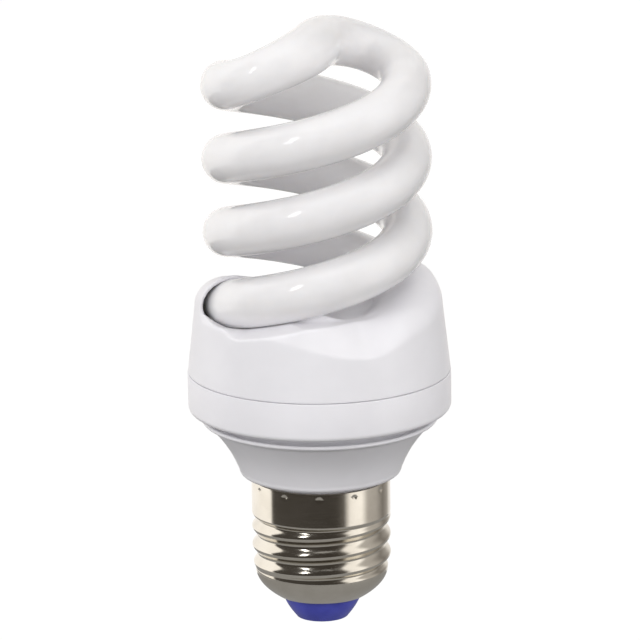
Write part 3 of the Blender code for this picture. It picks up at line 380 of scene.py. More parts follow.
def maths(tree, operation, first, second=None):
    """One Math node; an argument is a socket or a number."""
    node = tree.nodes.new('ShaderNodeMath')
    node.operation = operation
    for slot, value in ((0, first), (1, second)):
        if value is None:
            continue
        if isinstance(value, (int, float)):
            node.inputs[slot].default_value = value
        else:
            tree.links.new(value, node.inputs[slot])
    return node.outputs[0]


def ease(tree, value, low, high):
    """A smooth rise from 0 at low to 1 at high."""
    node = tree.nodes.new('ShaderNodeMapRange')
    node.interpolation_type = 'SMOOTHSTEP'
    for name, source in (("Value", value), ("From Min", low), ("From Max", high)):
        if isinstance(source, (int, float)):
            node.inputs[name].default_value = source
        else:
            tree.links.new(source, node.inputs[name])
    return node.outputs["Result"]


# Materials

def principled(name, **sockets):
    """A Principled material with its plain socket values."""
    mat = bpy.data.materials.new(name)
    mat.use_nodes = True
    shader = mat.node_tree.nodes["Principled BSDF"]
    for socket, value in sockets.items():
        shader.inputs[socket.replace("_", " ")].default_value = value
    return mat, mat.node_tree, shader


def grain(tree, scale, detail=3.0, stretch=(1.0, 1.0, 1.0)):
    """Noise in the piece's own coordinates; scale is in grains for each metre."""
    place = tree.nodes.new('ShaderNodeTexCoord')
    mapping = tree.nodes.new('ShaderNodeMapping')
    mapping.inputs["Scale"].default_value = stretch
    noise = tree.nodes.new('ShaderNodeTexNoise')
    noise.inputs["Scale"].default_value = scale
    noise.inputs["Detail"].default_value = detail
    tree.links.new(place.outputs["Object"], mapping.inputs["Vector"])
    tree.links.new(mapping.outputs["Vector"], noise.inputs["Vector"])
    return noise.outputs["Fac"]


def two_tones(tree, factor, low, high, start=0.35, end=0.65):
    """A colour ramp between two close tones."""
    ramp = tree.nodes.new('ShaderNodeValToRGB')
    ramp.color_ramp.elements[0].position = start
    ramp.color_ramp.elements[0].color = (*low, 1.0)
    ramp.color_ramp.elements[1].position = end
    ramp.color_ramp.elements[1].color = (*high, 1.0)
    tree.links.new(factor, ramp.inputs["Fac"])
    return ramp.outputs["Color"]


def ranged(tree, factor, low, high):
    """A noise value mapped onto a narrow range."""
    node = tree.nodes.new('ShaderNodeMapRange')
    node.inputs["To Min"].default_value = low
    node.inputs["To Max"].default_value = high
    tree.links.new(factor, node.inputs["Value"])
    return node.outputs["Result"]


def bump(tree, shader, height, strength, distance):
    """Fine relief on a shader, from a height value."""
    node = tree.nodes.new('ShaderNodeBump')
    node.inputs["Strength"].default_value = strength
    node.inputs["Distance"].default_value = distance
    tree.links.new(height, node.inputs["Height"])
    tree.links.new(node.outputs["Normal"], shader.inputs["Normal"])


def phosphor_glass():
    """White powder coat seen through clear glass: a matt white body under a hard gloss."""
    mat, tree, shader = principled(
        "phosphor_glass", Roughness=0.45, Coat_Weight=1.0, Coat_Roughness=0.02, Coat_IOR=1.5,
        Subsurface_Weight=1.0, Subsurface_Scale=7.0 * MM, Subsurface_Radius=(1.0, 0.96, 0.92))
    coat = two_tones(tree, grain(tree, 180.0), (0.83, 0.82, 0.83), (0.86, 0.85, 0.86))
    tree.links.new(coat, shader.inputs["Base Color"])
    bump(tree, shader, grain(tree, 2600.0), 0.05, 0.05 * MM)
    return mat


def housing_plastic():
    """Satin white moulding with a very fine spark texture."""
    mat, tree, shader = principled(
        "housing_plastic", Roughness=0.34, Subsurface_Weight=0.15, Subsurface_Scale=1.5 * MM,
        Subsurface_Radius=(1.0, 0.95, 0.9))
    tone = two_tones(tree, grain(tree, 140.0), (0.86, 0.85, 0.885), (0.885, 0.875, 0.91))
    tree.links.new(tone, shader.inputs["Base Color"])
    tree.links.new(ranged(tree, grain(tree, 900.0), 0.30, 0.38), shader.inputs["Roughness"])
    bump(tree, shader, grain(tree, 5200.0, 2.0), 0.06, 0.04 * MM)
    return mat


def cap_nickel():
    """Bright nickel plate, slightly warm, with faint rolling marks."""
    mat, tree, shader = principled("cap_nickel", Metallic=1.0, Roughness=0.12)
    tone = two_tones(tree, grain(tree, 260.0), (0.70, 0.66, 0.58), (0.76, 0.72, 0.64))
    tree.links.new(tone, shader.inputs["Base Color"])
    streak = grain(tree, 420.0, 4.0, (1.0, 1.0, 14.0))
    tree.links.new(ranged(tree, streak, 0.07, 0.20), shader.inputs["Roughness"])
    bump(tree, shader, streak, 0.05, 0.03 * MM)
    return mat


def tip_blue():
    """Blue moulded insulator with a soft shine."""
    mat, tree, shader = principled("tip_blue", Roughness=0.32)
    tone = two_tones(tree, grain(tree, 320.0), (0.058, 0.070, 0.47), (0.078, 0.092, 0.55))
    tree.links.new(tone, shader.inputs["Base Color"])
    bump(tree, shader, grain(tree, 4200.0, 2.0), 0.08, 0.05 * MM)
    return mat


def inner_finish(name, low, high, roughness, scale, metallic=0.0, relief=0.1):
    """A finish for the pieces inside the housing: two close tones and fine relief."""
    mat, tree, shader = principled(name, Metallic=metallic, Roughness=roughness)
    tree.links.new(two_tones(tree, grain(tree, scale), low, high), shader.inputs["Base Color"])
    bump(tree, shader, grain(tree, scale * 4), relief, 0.05 * MM)
    return mat


# Glass tube

def strand_height(angle):
    """Height of a strand's centreline, by bearing from its first pass."""
    return SPIRAL_START + SPIRAL_LEAD * angle / TAU


def strand_point(angle, turn):
    """A point of the strand that starts at the bearing turn."""
    return polar(SPIRAL_RADIUS, angle + turn, strand_height(angle))


def strand_direction(angle, turn):
    """The way a strand runs as it climbs."""
    across = polar(SPIRAL_RADIUS, angle + turn + math.pi / 2, 0.0)
    return (across + Vector((0, 0, SPIRAL_LEAD / TAU))).normalized()


def bridge_width(share):
    """The tube thins on its way in, and swells again over the lamp's axis."""
    if share < 0.5:
        blend = 0.5 - 0.5 * math.cos(TAU * share)
        return TUBE_RADIUS + (BRIDGE_RADIUS - TUBE_RADIUS) * blend
    blend = 0.5 + 0.5 * math.cos(TAU * share)
    return BRIDGE_RADIUS + (CROWN_RADIUS - BRIDGE_RADIUS) * blend


def strand_line(turn):
    """One strand from its sealed end up to the lamp's axis: points and widths."""
    last = SPIRAL_TURNS * TAU + BRIDGE_START
    steps = math.ceil((last + TAIL_ANGLE) / TUBE_STEP)
    line = []
    tip = strand_point(-TAIL_ANGLE, turn)
    back = -strand_direction(-TAIL_ANGLE, turn)
    for i in range(SEAL_STEPS):
        turn_in = math.pi / 2 * i / SEAL_STEPS
        width = SEAL_WIDTH_SHARE + (1 - SEAL_WIDTH_SHARE) * math.sin(turn_in)
        line.append((tip + back * (TAIL_END * math.cos(turn_in)), width * TUBE_RADIUS))
    for i in range(steps):
        angle = -TAIL_ANGLE + (last + TAIL_ANGLE) * i / steps
        line.append((strand_point(angle, turn), TUBE_RADIUS))
    start = strand_point(last, turn)
    ahead = strand_direction(last, turn)
    inward = Vector((-start.x, -start.y, 0.0)).normalized()
    elbow = start + ahead * BRIDGE_TURN_REACH + inward * BRIDGE_TURN_INSET
    elbow -= Vector((0, 0, BRIDGE_TURN_DROP))
    crown = Vector((0, 0, strand_height(SPIRAL_TURNS * TAU) + BRIDGE_CROWN_RISE))
    before = crown - polar(BRIDGE_CROWN_REACH, BRIDGE_CROWN_ANGLE + turn - math.pi, 0.0)
    bridge = bezier([start, start + ahead * BRIDGE_LEAD_OUT, elbow, before, crown],
                    TUBE_BRIDGE_STEPS)
    for i, point in enumerate(bridge):
        line.append((point, bridge_width(i / TUBE_BRIDGE_STEPS)))
    return line


def tube_tree():
    """Sweeps a round glass section along a path whose points carry their width."""
    tree = bpy.data.node_groups.new("bent_tube", 'GeometryNodeTree')
    source = tree_inputs(tree, (("Sides", 'NodeSocketInt'), ("Material", 'NodeSocketMaterial')))
    path = tree.nodes.new('GeometryNodeMeshToCurve')
    ring = tree.nodes.new('GeometryNodeCurvePrimitiveCircle')
    ring.inputs["Radius"].default_value = 1.0
    width = tree.nodes.new('GeometryNodeInputNamedAttribute')
    width.inputs["Name"].default_value = "width"
    radius = tree.nodes.new('GeometryNodeSetCurveRadius')
    sweep = tree.nodes.new('GeometryNodeCurveToMesh')
    sweep.inputs["Fill Caps"].default_value = True
    tree.links.new(source.outputs["Geometry"], path.inputs["Mesh"])
    tree.links.new(path.outputs["Curve"], radius.inputs["Curve"])
    tree.links.new(width.outputs["Attribute"], radius.inputs["Radius"])
    tree.links.new(source.outputs["Sides"], ring.inputs["Resolution"])
    tree.links.new(radius.outputs["Curve"], sweep.inputs["Curve"])
    tree.links.new(ring.outputs["Curve"], sweep.inputs["Profile Curve"])
    if "Scale" in sweep.inputs:
        tree.links.new(width.outputs["Attribute"], sweep.inputs["Scale"])
    finish_tree(tree, sweep.outputs["Mesh"], source)
    return tree


def make_glass_tube(glass):
    """Both strands and the bridge as one bent tube."""
    line = strand_line(math.pi)
    line += strand_line(0.0)[-2::-1]
    mesh = bpy.data.meshes.new("glass_tube")
    mesh.from_pydata([point for point, width in line],
                     [(i, i + 1) for i in range(len(line) - 1)], [])
    widths = mesh.attributes.new("width", 'FLOAT', 'POINT')
    widths.data.foreach_set("value", [width for point, width in line])
    piece = bpy.data.objects.new("glass_tube", mesh)
    bpy.context.scene.collection.objects.link(piece)
    run_tree(piece, tube_tree(), {"Sides": TUBE_SIDES, "Material": glass})
    bm = bmesh.new()
    bm.from_mesh(piece.data)
    bmesh.ops.remove_doubles(bm, verts=bm.verts, dist=MERGE_DISTANCE)
    bmesh.ops.recalc_face_normals(bm, faces=bm.faces)
    bm.to_mesh(piece.data)
    bm.free()
    return piece


# Top cover

def above_mouth(bearing):
    """A bearing counted along the strand whose trough it crosses, from mouth to mouth."""
    return MOUTH_ANGLE + math.pi - (MOUTH_ANGLE - bearing + HAIR_ANGLE) % math.pi


def hood_level(bearing):
    """Level of the hood's middle: it follows the tube's tail down from the mouth."""
    above = above_mouth(bearing)
    tail = strand_height(max(above - math.pi, TAIL_HOLD))
    return tail + (RAMP_LEVEL - tail) * smooth_rise(above, RAMP_END, RAMP_START)


def rim_share(bearing):
    """Share of the flat shoulder, which fades into the round hood."""
    return smooth_rise(above_mouth(bearing), RIM_FADE, RAMP_END)


def rim_reach(bearing):
    """How far the shoulder's crisp edge stands outside the tube's centreline."""
    share = (above_mouth(bearing) - RIM_START) / (RAMP_END - RIM_START)
    share = min(1.0, max(0.0, share))
    return RIM_OUTER_RADIUS + (RIM_INNER_RADIUS - RIM_OUTER_RADIUS) * share - SPIRAL_RADIUS


def cover_radius(level):
    """Outer radius of the cover's wall, which tapers upward."""
    share = (level - COVER_FOOT) / (COVER_TOP - COVER_FOOT)
    return COVER_FOOT_RADIUS + (COVER_TOP_RADIUS - COVER_FOOT_RADIUS) * share


def hood_outline(bearing, wall):
    """The cover's outline at one bearing, inset by a wall: foot, taper, hood or shoulder, hub."""
    level = hood_level(bearing)
    base = COVER_FOOT - CUT_OVERRUN - wall
    outward = cover_radius(level) - SPIRAL_RADIUS - wall
    inward = HOOD_INNER_REACH - wall
    rise = HOOD_CREST - wall
    shoulder = max(outward - rim_reach(bearing) + wall, SHOULDER_LEAST_WIDTH)
    points = [(0.0, base), (COVER_FOOT_RADIUS - wall, base), (COVER_FOOT_RADIUS - wall, COVER_FOOT)]
    for i in range(HOOD_STEPS + 1):
        turn = math.pi * i / HOOD_STEPS
        reach = outward if i <= HOOD_STEPS / 2 else inward
        height = level + rise * math.sin(turn)
        if i > HOOD_STEPS / 2:
            height = max(height, HUB_LEVEL - wall)
        else:
            slope = (1.0 - math.cos(turn)) * outward / shoulder
            flat = level + (HUB_LEVEL - wall - level) * min(1.0, slope)
            height += (min(height, flat) - height) * rim_share(bearing)
        points.append((SPIRAL_RADIUS + reach * math.cos(turn), height))
    points.append((SPIRAL_RADIUS - inward, HUB_LEVEL - wall))
    points.append((0.0, HUB_LEVEL + HUB_CROWN - wall))
    return points


def hooded_block(name, wall):
    """The cover's closed outer block, inset by a wall, from its outlines round the axis."""
    bm = bmesh.new()
    columns = []
    for i in range(COVER_SEGMENTS):
        bearing = MOUTH_ANGLE + TAU * i / COVER_SEGMENTS
        columns.append([bm.verts.new(polar(radius, bearing, height))
                        for radius, height in hood_outline(bearing, wall)])
    for near, far in zip(columns, columns[1:] + columns[:1]):
        for i in range(len(near) - 1):
            bm.faces.new((near[i], far[i], far[i + 1], near[i + 1]))
    return new_object(name, bm)


def lip_rise(angle):
    """How far the outer wall stands above the trough's floor near a mouth."""
    lip = LIP_HEIGHT * smooth_rise(angle, LIP_END_ANGLE, LIP_FULL_ANGLE)
    return lip + CHEEK_HEIGHT * cheek(angle)


def cheek(angle):
    """Share of the raised cheek that joins the lip to the mouth's rim."""
    return smooth_rise(angle, CHEEK_END_ANGLE, MOUTH_ANGLE)


def trough_section(angle, wall):
    """The trough's cross-section about the tube, enlarged by a wall."""
    reach = TROUGH_RADIUS + wall
    level = strand_height(angle)
    top = COVER_TOP + HOOD_CREST + 2 * CUT_OVERRUN
    outer = COVER_FOOT_RADIUS + CUT_OVERRUN
    edge = level - LEDGE_DROP + lip_rise(angle) - wall
    sweep = math.pi / 2 + LEDGE_TURN + CHEEK_TURN * cheek(angle)
    section = [(TROUGH_INNER_RADIUS, top),
               (TROUGH_INNER_RADIUS, level - reach * math.sin(TROUGH_BANK))]
    for i in range(TROUGH_ARC_STEPS + 1):
        share = i / TROUGH_ARC_STEPS
        turn = math.pi + TROUGH_BANK + (sweep - TROUGH_BANK) * share
        section.append((SPIRAL_RADIUS + reach * math.cos(turn), level + reach * math.sin(turn)))
    section.append((LEDGE_RADIUS, edge))
    section.append((outer, edge))
    section.append((outer, top))
    return section


def trough_tool(wall):
    """Solids that hollow a sloping trough along both strands."""
    start = MOUTH_ANGLE - wall / SPIRAL_RADIUS
    span = TROUGH_SPAN + 2 * wall / SPIRAL_RADIUS
    bm = bmesh.new()
    for turn in (math.pi, 0.0):
        rings = []
        for i in range(TROUGH_STEPS + 1):
            angle = start + span * i / TROUGH_STEPS
            rings.append([polar(radius, angle + turn, height)
                          for radius, height in trough_section(angle, wall)])
        skin(rings, bm)
    return new_object("trough_tool", bm, smooth=False)


def mouth_tool():
    """Short bars that open the end wall of each hood round its tube."""
    bm = bmesh.new()
    for turn in (math.pi, 0.0):
        bearing = MOUTH_ANGLE + turn
        centre = polar(SPIRAL_RADIUS, bearing, strand_height(MOUTH_ANGLE))
        along = polar(1.0, bearing + math.pi / 2, 0.0)
        side = polar(1.0, bearing, 0.0)
        rings = []
        for point in (centre - along * MOUTH_BITE, centre + along * FIT):
            ring = []
            for i in range(MOUTH_SEGMENTS):
                turn_round = TAU * i / MOUTH_SEGMENTS
                height = MOUTH_RISE if i < MOUTH_SEGMENTS / 2 else MOUTH_DROP
                ring.append(point + side * (MOUTH_REACH * math.cos(turn_round))
                            + Vector((0, 0, height * math.sin(turn_round))))
            rings.append(ring)
        skin(rings, bm)
    return new_object("mouth_tool", bm, smooth=False)


def make_cover(plastic):
    """The hooded cover, with its edges softened as a moulding's are."""
    cover = hooded_block("housing_cover", 0.0)
    cut(cover, trough_tool(0.0))
    hollow = hooded_block("hollow", COVER_WALL)
    cut(hollow, trough_tool(COVER_WALL))
    cut(cover, hollow)
    cut(cover, mouth_tool())
    remesh = cover.modifiers.new("remesh", 'REMESH')
    remesh.mode = 'VOXEL'
    remesh.voxel_size = COVER_VOXEL
    smooth = cover.modifiers.new("smooth", 'SMOOTH')
    smooth.factor = COVER_SMOOTHING_FACTOR
    smooth.iterations = COVER_SMOOTHING
    applied(cover)
    trim_foot(cover)
    cover.data.materials.clear()
    cover.data.materials.append(plastic)
    return cover


def trim_foot(cover):
    """Cut the cover's foot flat at the seam and close the ring that is left."""
    bm = bmesh.new()
    bm.from_mesh(cover.data)
    geometry = list(bm.verts) + list(bm.edges) + list(bm.faces)
    bmesh.ops.bisect_plane(bm, geom=geometry, plane_co=(0, 0, COVER_FOOT),
                           plane_no=(0, 0, 1), clear_inner=True)
    rim = [edge for edge in bm.edges if edge.is_boundary]
    bmesh.ops.bridge_loops(bm, edges=rim)
    bmesh.ops.recalc_face_normals(bm, faces=bm.faces)
    bm.to_mesh(cover.data)
    bm.free()
    keep_sharp(cover, COVER_CREASE)


# Base housing

def base_outline():
    """Seam step, band, groove, lip, funnel, foot and neck, then the inner wall."""
    top = SEAM_LEVEL - SEAM_GAP
    corner = BAND_RADIUS - CORNER_WIDTH
    under = BAND_FOOT - CORNER_DEPTH
    backing = BAND_RADIUS - SEAM_DEPTH
    outline = [(TONGUE_BORE, TONGUE_TOP), (TONGUE_RADIUS, TONGUE_TOP),
               (TONGUE_RADIUS, COVER_FOOT - SEAM_CLEARANCE), (backing, COVER_FOOT - SEAM_CLEARANCE),
               (backing, top)]
    outline += arc((BAND_RADIUS - SEAM_EDGE, top - SEAM_EDGE), SEAM_EDGE, 90, 0, 3)
    for i in range(BAND_CORNER_STEPS + 1):
        turn = math.pi / 2 * i / BAND_CORNER_STEPS
        outline.append((corner + CORNER_WIDTH * math.cos(turn),
                        BAND_FOOT - CORNER_DEPTH * math.sin(turn)))
    outline += arc((GROOVE_RADIUS + GROOVE_CORNER, under - GROOVE_CORNER), GROOVE_CORNER, 90, 180, 4)
    outline += arc((GROOVE_RADIUS + GROOVE_CORNER, GROOVE_FOOT + GROOVE_CORNER),
                   GROOVE_CORNER, 180, 270, 4)
    outline += arc((LIP_RADIUS - LIP_ROUND, LIP_TOP - LIP_ROUND), LIP_ROUND, 90, -60, 10)
    outline.append((FUNNEL_LIP_RADIUS + LIP_TUCK, FUNNEL_LIP_LEVEL + LIP_TUCK_RISE))
    outline.append((FUNNEL_LIP_RADIUS, FUNNEL_LIP_LEVEL))
    chamfer = FOOT_LEVEL + FOOT_CHAMFER
    for i in range(1, FUNNEL_STEPS + 1):
        share = i / FUNNEL_STEPS
        radius = FUNNEL_LIP_RADIUS + (FUNNEL_FOOT_RADIUS - FUNNEL_LIP_RADIUS) * share
        radius -= FUNNEL_HOLLOW * math.sin(math.pi * share)
        outline.append((radius, FUNNEL_LIP_LEVEL + (chamfer - FUNNEL_LIP_LEVEL) * share))
    outline += arc((FUNNEL_FOOT_RADIUS - FOOT_CHAMFER, chamfer), FOOT_CHAMFER, -15, -90, 8)
    outline += [(NECK_RADIUS, FOOT_LEVEL), (NECK_RADIUS, NECK_FOOT), (NECK_BORE, NECK_FOOT),
                (NECK_BORE, FOOT_LEVEL), (FUNNEL_FOOT_RADIUS - BASE_WALL, chamfer)]
    outline += [(FUNNEL_LIP_RADIUS - BASE_WALL, FUNNEL_LIP_LEVEL),
                (GROOVE_RADIUS - BASE_WALL, under + BASE_WALL),
                (BAND_RADIUS - BASE_WALL, under + BASE_WALL),
                (BAND_RADIUS - BASE_WALL, top - TONGUE_ROOT - BASE_WALL),
                (TONGUE_BORE, top - TONGUE_ROOT)]
    return outline


def make_base(plastic):
    """The lower housing in one moulding."""
    base = turned("housing_base", base_outline(), BASE_SEGMENTS)
    keep_sharp(base, CREASE)
    base.data.materials.append(plastic)
    return base


# Screw cap

def shell_line():
    """The plain outer line of the shell, from its rim down to the turned-in lip."""
    points = []
    foot = THREAD_TOP - THREAD_TURNS * THREAD_PITCH
    rim = CAP_RIM - RIM_ROUND
    rows = math.ceil((rim - foot) / CAP_ROW)
    for i in range(rows + 1):
        height = rim + (foot - rim) * i / rows
        share = max(0.0, 1.0 - (height - foot) / CAP_SHOULDER_RISE)
        narrowing = (CAP_RADIUS - CAP_SHOULDER_RADIUS) * share * share
        points.append((CAP_RADIUS - narrowing, height))
    for i in range(1, TAPER_STEPS + 1):
        share = i / TAPER_STEPS
        points.append((CAP_FOOT_RADIUS + (CAP_SHOULDER_RADIUS - CAP_FOOT_RADIUS) * (1 - share * share),
                       foot - (foot - CAP_FOOT) * share))
    points.append((CAP_FOOT_RADIUS - CAP_LIP, CAP_FOOT))
    return points


def inset(points, distance):
    """A line of (radius, height) points moved inward by a wall's thickness."""
    moved = []
    for i, (radius, height) in enumerate(points):
        before = points[max(i - 1, 0)]
        after = points[min(i + 1, len(points) - 1)]
        along = Vector((after[0] - before[0], after[1] - before[1])).normalized()
        moved.append((radius + along.y * distance, height - along.x * distance))
    return moved


def thread_tree():
    """Rolls a right-hand thread and a ring of crimp marks into a plain shell."""
    tree = bpy.data.node_groups.new("rolled_shell", 'GeometryNodeTree')
    names = ("Pitch", "Depth", "Crest", "Top", "Foot", "Runout",
             "Crimp Count", "Crimp Level", "Crimp Radius", "Crimp Depth")
    source = tree_inputs(tree, [(name, 'NodeSocketFloat') for name in names]
                         + [("Material", 'NodeSocketMaterial')])
    given = source.outputs
    place = tree.nodes.new('GeometryNodeInputPosition')
    split = tree.nodes.new('ShaderNodeSeparateXYZ')
    tree.links.new(place.outputs[0], split.inputs[0])
    x, y, z = split.outputs
    bearing = maths(tree, 'ARCTAN2', y, x)
    reach = maths(tree, 'SQRT', maths(tree, 'ADD', maths(tree, 'MULTIPLY', x, x),
                                      maths(tree, 'MULTIPLY', y, y)))
    turns = maths(tree, 'DIVIDE', maths(tree, 'SUBTRACT', z, given["Crest"]), given["Pitch"])
    phase = maths(tree, 'SUBTRACT', turns, maths(tree, 'DIVIDE', bearing, TAU))
    wave = maths(tree, 'COSINE', maths(tree, 'MULTIPLY', maths(tree, 'SUBTRACT', phase, 0.5), TAU))
    valley = maths(tree, 'MULTIPLY', maths(tree, 'SUBTRACT', 1.0, wave), 0.5)
    from_top = ease(tree, maths(tree, 'SUBTRACT', given["Top"], z), 0.0, given["Runout"])
    from_foot = ease(tree, maths(tree, 'SUBTRACT', z, given["Foot"]), 0.0, given["Runout"])
    rolled = maths(tree, 'MULTIPLY', maths(tree, 'MULTIPLY', valley, given["Depth"]),
                   maths(tree, 'MULTIPLY', from_top, from_foot))
    crimp_turn = maths(tree, 'MULTIPLY', maths(tree, 'DIVIDE', bearing, TAU), given["Crimp Count"])
    crimp_turn = maths(tree, 'ADD', crimp_turn, CRIMP_OFFSET_SHARE)
    off_turn = maths(tree, 'SUBTRACT', crimp_turn, maths(tree, 'ROUND', crimp_turn))
    off_angle = maths(tree, 'MULTIPLY', maths(tree, 'DIVIDE', off_turn, given["Crimp Count"]), TAU)
    across = maths(tree, 'MULTIPLY', off_angle, reach)
    down = maths(tree, 'SUBTRACT', z, given["Crimp Level"])
    away = maths(tree, 'ADD', maths(tree, 'ABSOLUTE', across), maths(tree, 'ABSOLUTE', down))
    punched = maths(tree, 'MULTIPLY', maths(tree, 'SUBTRACT', 1.0, ease(
        tree, away, 0.0, given["Crimp Radius"])), given["Crimp Depth"])
    inward = maths(tree, 'MULTIPLY', maths(tree, 'ADD', rolled, punched), -1.0)
    push = maths(tree, 'DIVIDE', inward, reach)
    offset = tree.nodes.new('ShaderNodeCombineXYZ')
    tree.links.new(maths(tree, 'MULTIPLY', x, push), offset.inputs["X"])
    tree.links.new(maths(tree, 'MULTIPLY', y, push), offset.inputs["Y"])
    move = tree.nodes.new('GeometryNodeSetPosition')
    tree.links.new(given["Geometry"], move.inputs["Geometry"])
    tree.links.new(offset.outputs[0], move.inputs["Offset"])
    finish_tree(tree, move.outputs["Geometry"], source)
    return tree


def make_cap(nickel):
    """The rolled metal shell: skirt, thread, tapered foot and turned-in lip."""
    line = shell_line()
    rim = arc((CAP_RADIUS - RIM_ROUND, CAP_RIM - RIM_ROUND), RIM_ROUND, 180, 0, 8)[1:-1]
    cap = turned("screw_shell", line + inset(line, CAP_WALL)[::-1] + rim, CAP_COLUMNS)
    run_tree(cap, thread_tree(), {
        "Pitch": THREAD_PITCH, "Depth": THREAD_DEPTH, "Crest": THREAD_CREST, "Top": THREAD_TOP,
        "Foot": THREAD_TOP - THREAD_TURNS * THREAD_PITCH, "Runout": THREAD_RUNOUT,
        "Crimp Count": float(CRIMP_COUNT), "Crimp Level": CAP_RIM - CRIMP_DROP,
        "Crimp Radius": CRIMP_RADIUS, "Crimp Depth": CRIMP_DEPTH, "Material": nickel})
    return cap


def make_tip(blue):
    """The blue tip: flange inside the shell, throat, rounded cone and contact seat."""
    seat = CAP_FOOT + CAP_WALL + FIT
    flange = TIP_THROAT_RADIUS + CAP_LIP + CAP_WALL
    recess = CONTACT_THICKNESS + FIT
    bore = STEM_RADIUS + FIT
    top = CAP_FOOT - FIT
    outline = [(bore, seat + TIP_FLANGE), (flange, seat + TIP_FLANGE), (flange, seat),
               (TIP_THROAT_RADIUS, seat), (TIP_THROAT_RADIUS, top)]
    for i in range(1, TIP_STEPS + 1):
        share = i / TIP_STEPS
        radius = TIP_THROAT_RADIUS + (TIP_END_RADIUS - TIP_THROAT_RADIUS) * share
        outline.append((radius + TIP_BULGE * math.sin(math.pi * share),
                        top + (TIP_END - top) * share))
    outline += [(CONTACT_RADIUS + FIT, TIP_END), (CONTACT_RADIUS + FIT, recess), (bore, recess)]
    tip = turned("tip_insulator", outline, TIP_SEGMENTS)
    keep_sharp(tip, CREASE)
    tip.data.materials.append(blue)
    return tip


def make_contact(nickel):
    """The round end contact with a rounded edge, and its stem."""
    outline = [(0.0, 0.0)]
    outline += arc((CONTACT_RADIUS - CONTACT_EDGE, CONTACT_EDGE), CONTACT_EDGE, -90, 0, 8)
    outline += [(CONTACT_RADIUS, CONTACT_THICKNESS), (STEM_RADIUS, CONTACT_THICKNESS),
                (STEM_RADIUS, STEM_TOP), (0.0, STEM_TOP)]
    contact = turned("end_contact", outline, TIP_SEGMENTS, closed=False)
    keep_sharp(contact, CREASE)
    contact.data.materials.append(nickel)
    return contact


# Pieces inside the housing

def inner_finishes():
    """One finish for each material slot of the inner pieces."""
    return {
        "silicone": inner_finish("silicone", (0.66, 0.66, 0.64), (0.74, 0.74, 0.72), 0.55, 700),
        "tinned_metal": inner_finish("tinned_metal", (0.62, 0.60, 0.56), (0.74, 0.72, 0.68),
                                     0.3, 1500, metallic=1.0),
        "laminate": inner_finish("laminate", (0.26, 0.18, 0.06), (0.34, 0.25, 0.10), 0.55, 900),
        "capacitor_sleeve": inner_finish("capacitor_sleeve", (0.02, 0.02, 0.035),
                                         (0.035, 0.035, 0.055), 0.3, 500),
        "ferrite": inner_finish("ferrite", (0.035, 0.035, 0.035), (0.06, 0.06, 0.06), 0.5, 2400),
        "nylon": inner_finish("nylon", (0.05, 0.05, 0.055), (0.07, 0.07, 0.08), 0.45, 1200),
        "enamelled_copper": inner_finish("enamelled_copper", (0.42, 0.13, 0.04),
                                         (0.52, 0.19, 0.06), 0.25, 2000, metallic=0.7),
        "resonant_resin": inner_finish("resonant_resin", (0.34, 0.07, 0.03), (0.42, 0.10, 0.05),
                                       0.25, 600),
        "coupling_resin": inner_finish("coupling_resin", (0.07, 0.24, 0.07), (0.11, 0.30, 0.11),
                                       0.25, 600),
        "epoxy": inner_finish("epoxy", (0.02, 0.02, 0.02), (0.035, 0.035, 0.035), 0.45, 2600),
        "resistor_coat": inner_finish("resistor_coat", (0.48, 0.35, 0.18), (0.58, 0.45, 0.26),
                                      0.35, 800),
        "trigger_diode_glass": inner_finish("trigger_diode_glass", (0.03, 0.09, 0.36),
                                            (0.06, 0.14, 0.46), 0.15, 600),
        "fuse_sleeve": inner_finish("fuse_sleeve", (0.52, 0.52, 0.48), (0.66, 0.66, 0.62),
                                    0.7, 3000, relief=0.4),
        "live_sleeve": inner_finish("live_sleeve", (0.40, 0.02, 0.02), (0.48, 0.04, 0.04),
                                    0.4, 900),
        "neutral_sleeve": inner_finish("neutral_sleeve", (0.02, 0.02, 0.02),
                                       (0.035, 0.035, 0.035), 0.4, 900),
    }


def dress_inner_pieces():
    """Give every solid that stays in the scene the finish of its own slot."""
    finishes = inner_finishes()
    for part in frame["record"]["subparts"]:
        finish = finishes.get(part["material_slot"])
        if finish is None:
            continue
        node = frame["nodes"][part["node"]]
        node.data.materials.clear()
        node.data.materials.append(finish)


# Studio

def softbox(name, azimuth, elevation, distance, width, height, power):
    """A rectangular lamp that faces the object; azimuth 0 is the camera's side."""
    lamp = bpy.data.lights.new(name, 'AREA')
    lamp.shape = 'RECTANGLE'
    lamp.size = width
    lamp.size_y = height
    lamp.energy = power
    light = bpy.data.objects.new(name, lamp)
    a, e = math.radians(azimuth), math.radians(elevation)
    away = Vector((math.sin(a) * math.cos(e), -math.cos(a) * math.cos(e), math.sin(e)))
    light.location = CAMERA_AIM + away * distance
    light.rotation_euler = (-away).to_track_quat('-Z', 'Y').to_euler()
    bpy.context.scene.collection.objects.link(light)
    return light


def light_floor():
    """A plain floor that looks white to the camera and takes the object's shadow."""
    mat, tree, shader = principled("pale_floor", Roughness=0.9)
    shader.inputs["Base Color"].default_value = (*FLOOR_COLOUR, 1.0)
    shader.inputs["Emission Color"].default_value = (1.0, 1.0, 1.0, 1.0)
    path = tree.nodes.new('ShaderNodeLightPath')
    seen = maths(tree, 'MULTIPLY', path.outputs["Is Camera Ray"], FLOOR_GLOW)
    mirrored = maths(tree, 'MULTIPLY', path.outputs["Is Glossy Ray"], FLOOR_SHEEN)
    tree.links.new(maths(tree, 'ADD', seen, mirrored), shader.inputs["Emission Strength"])
    return mat


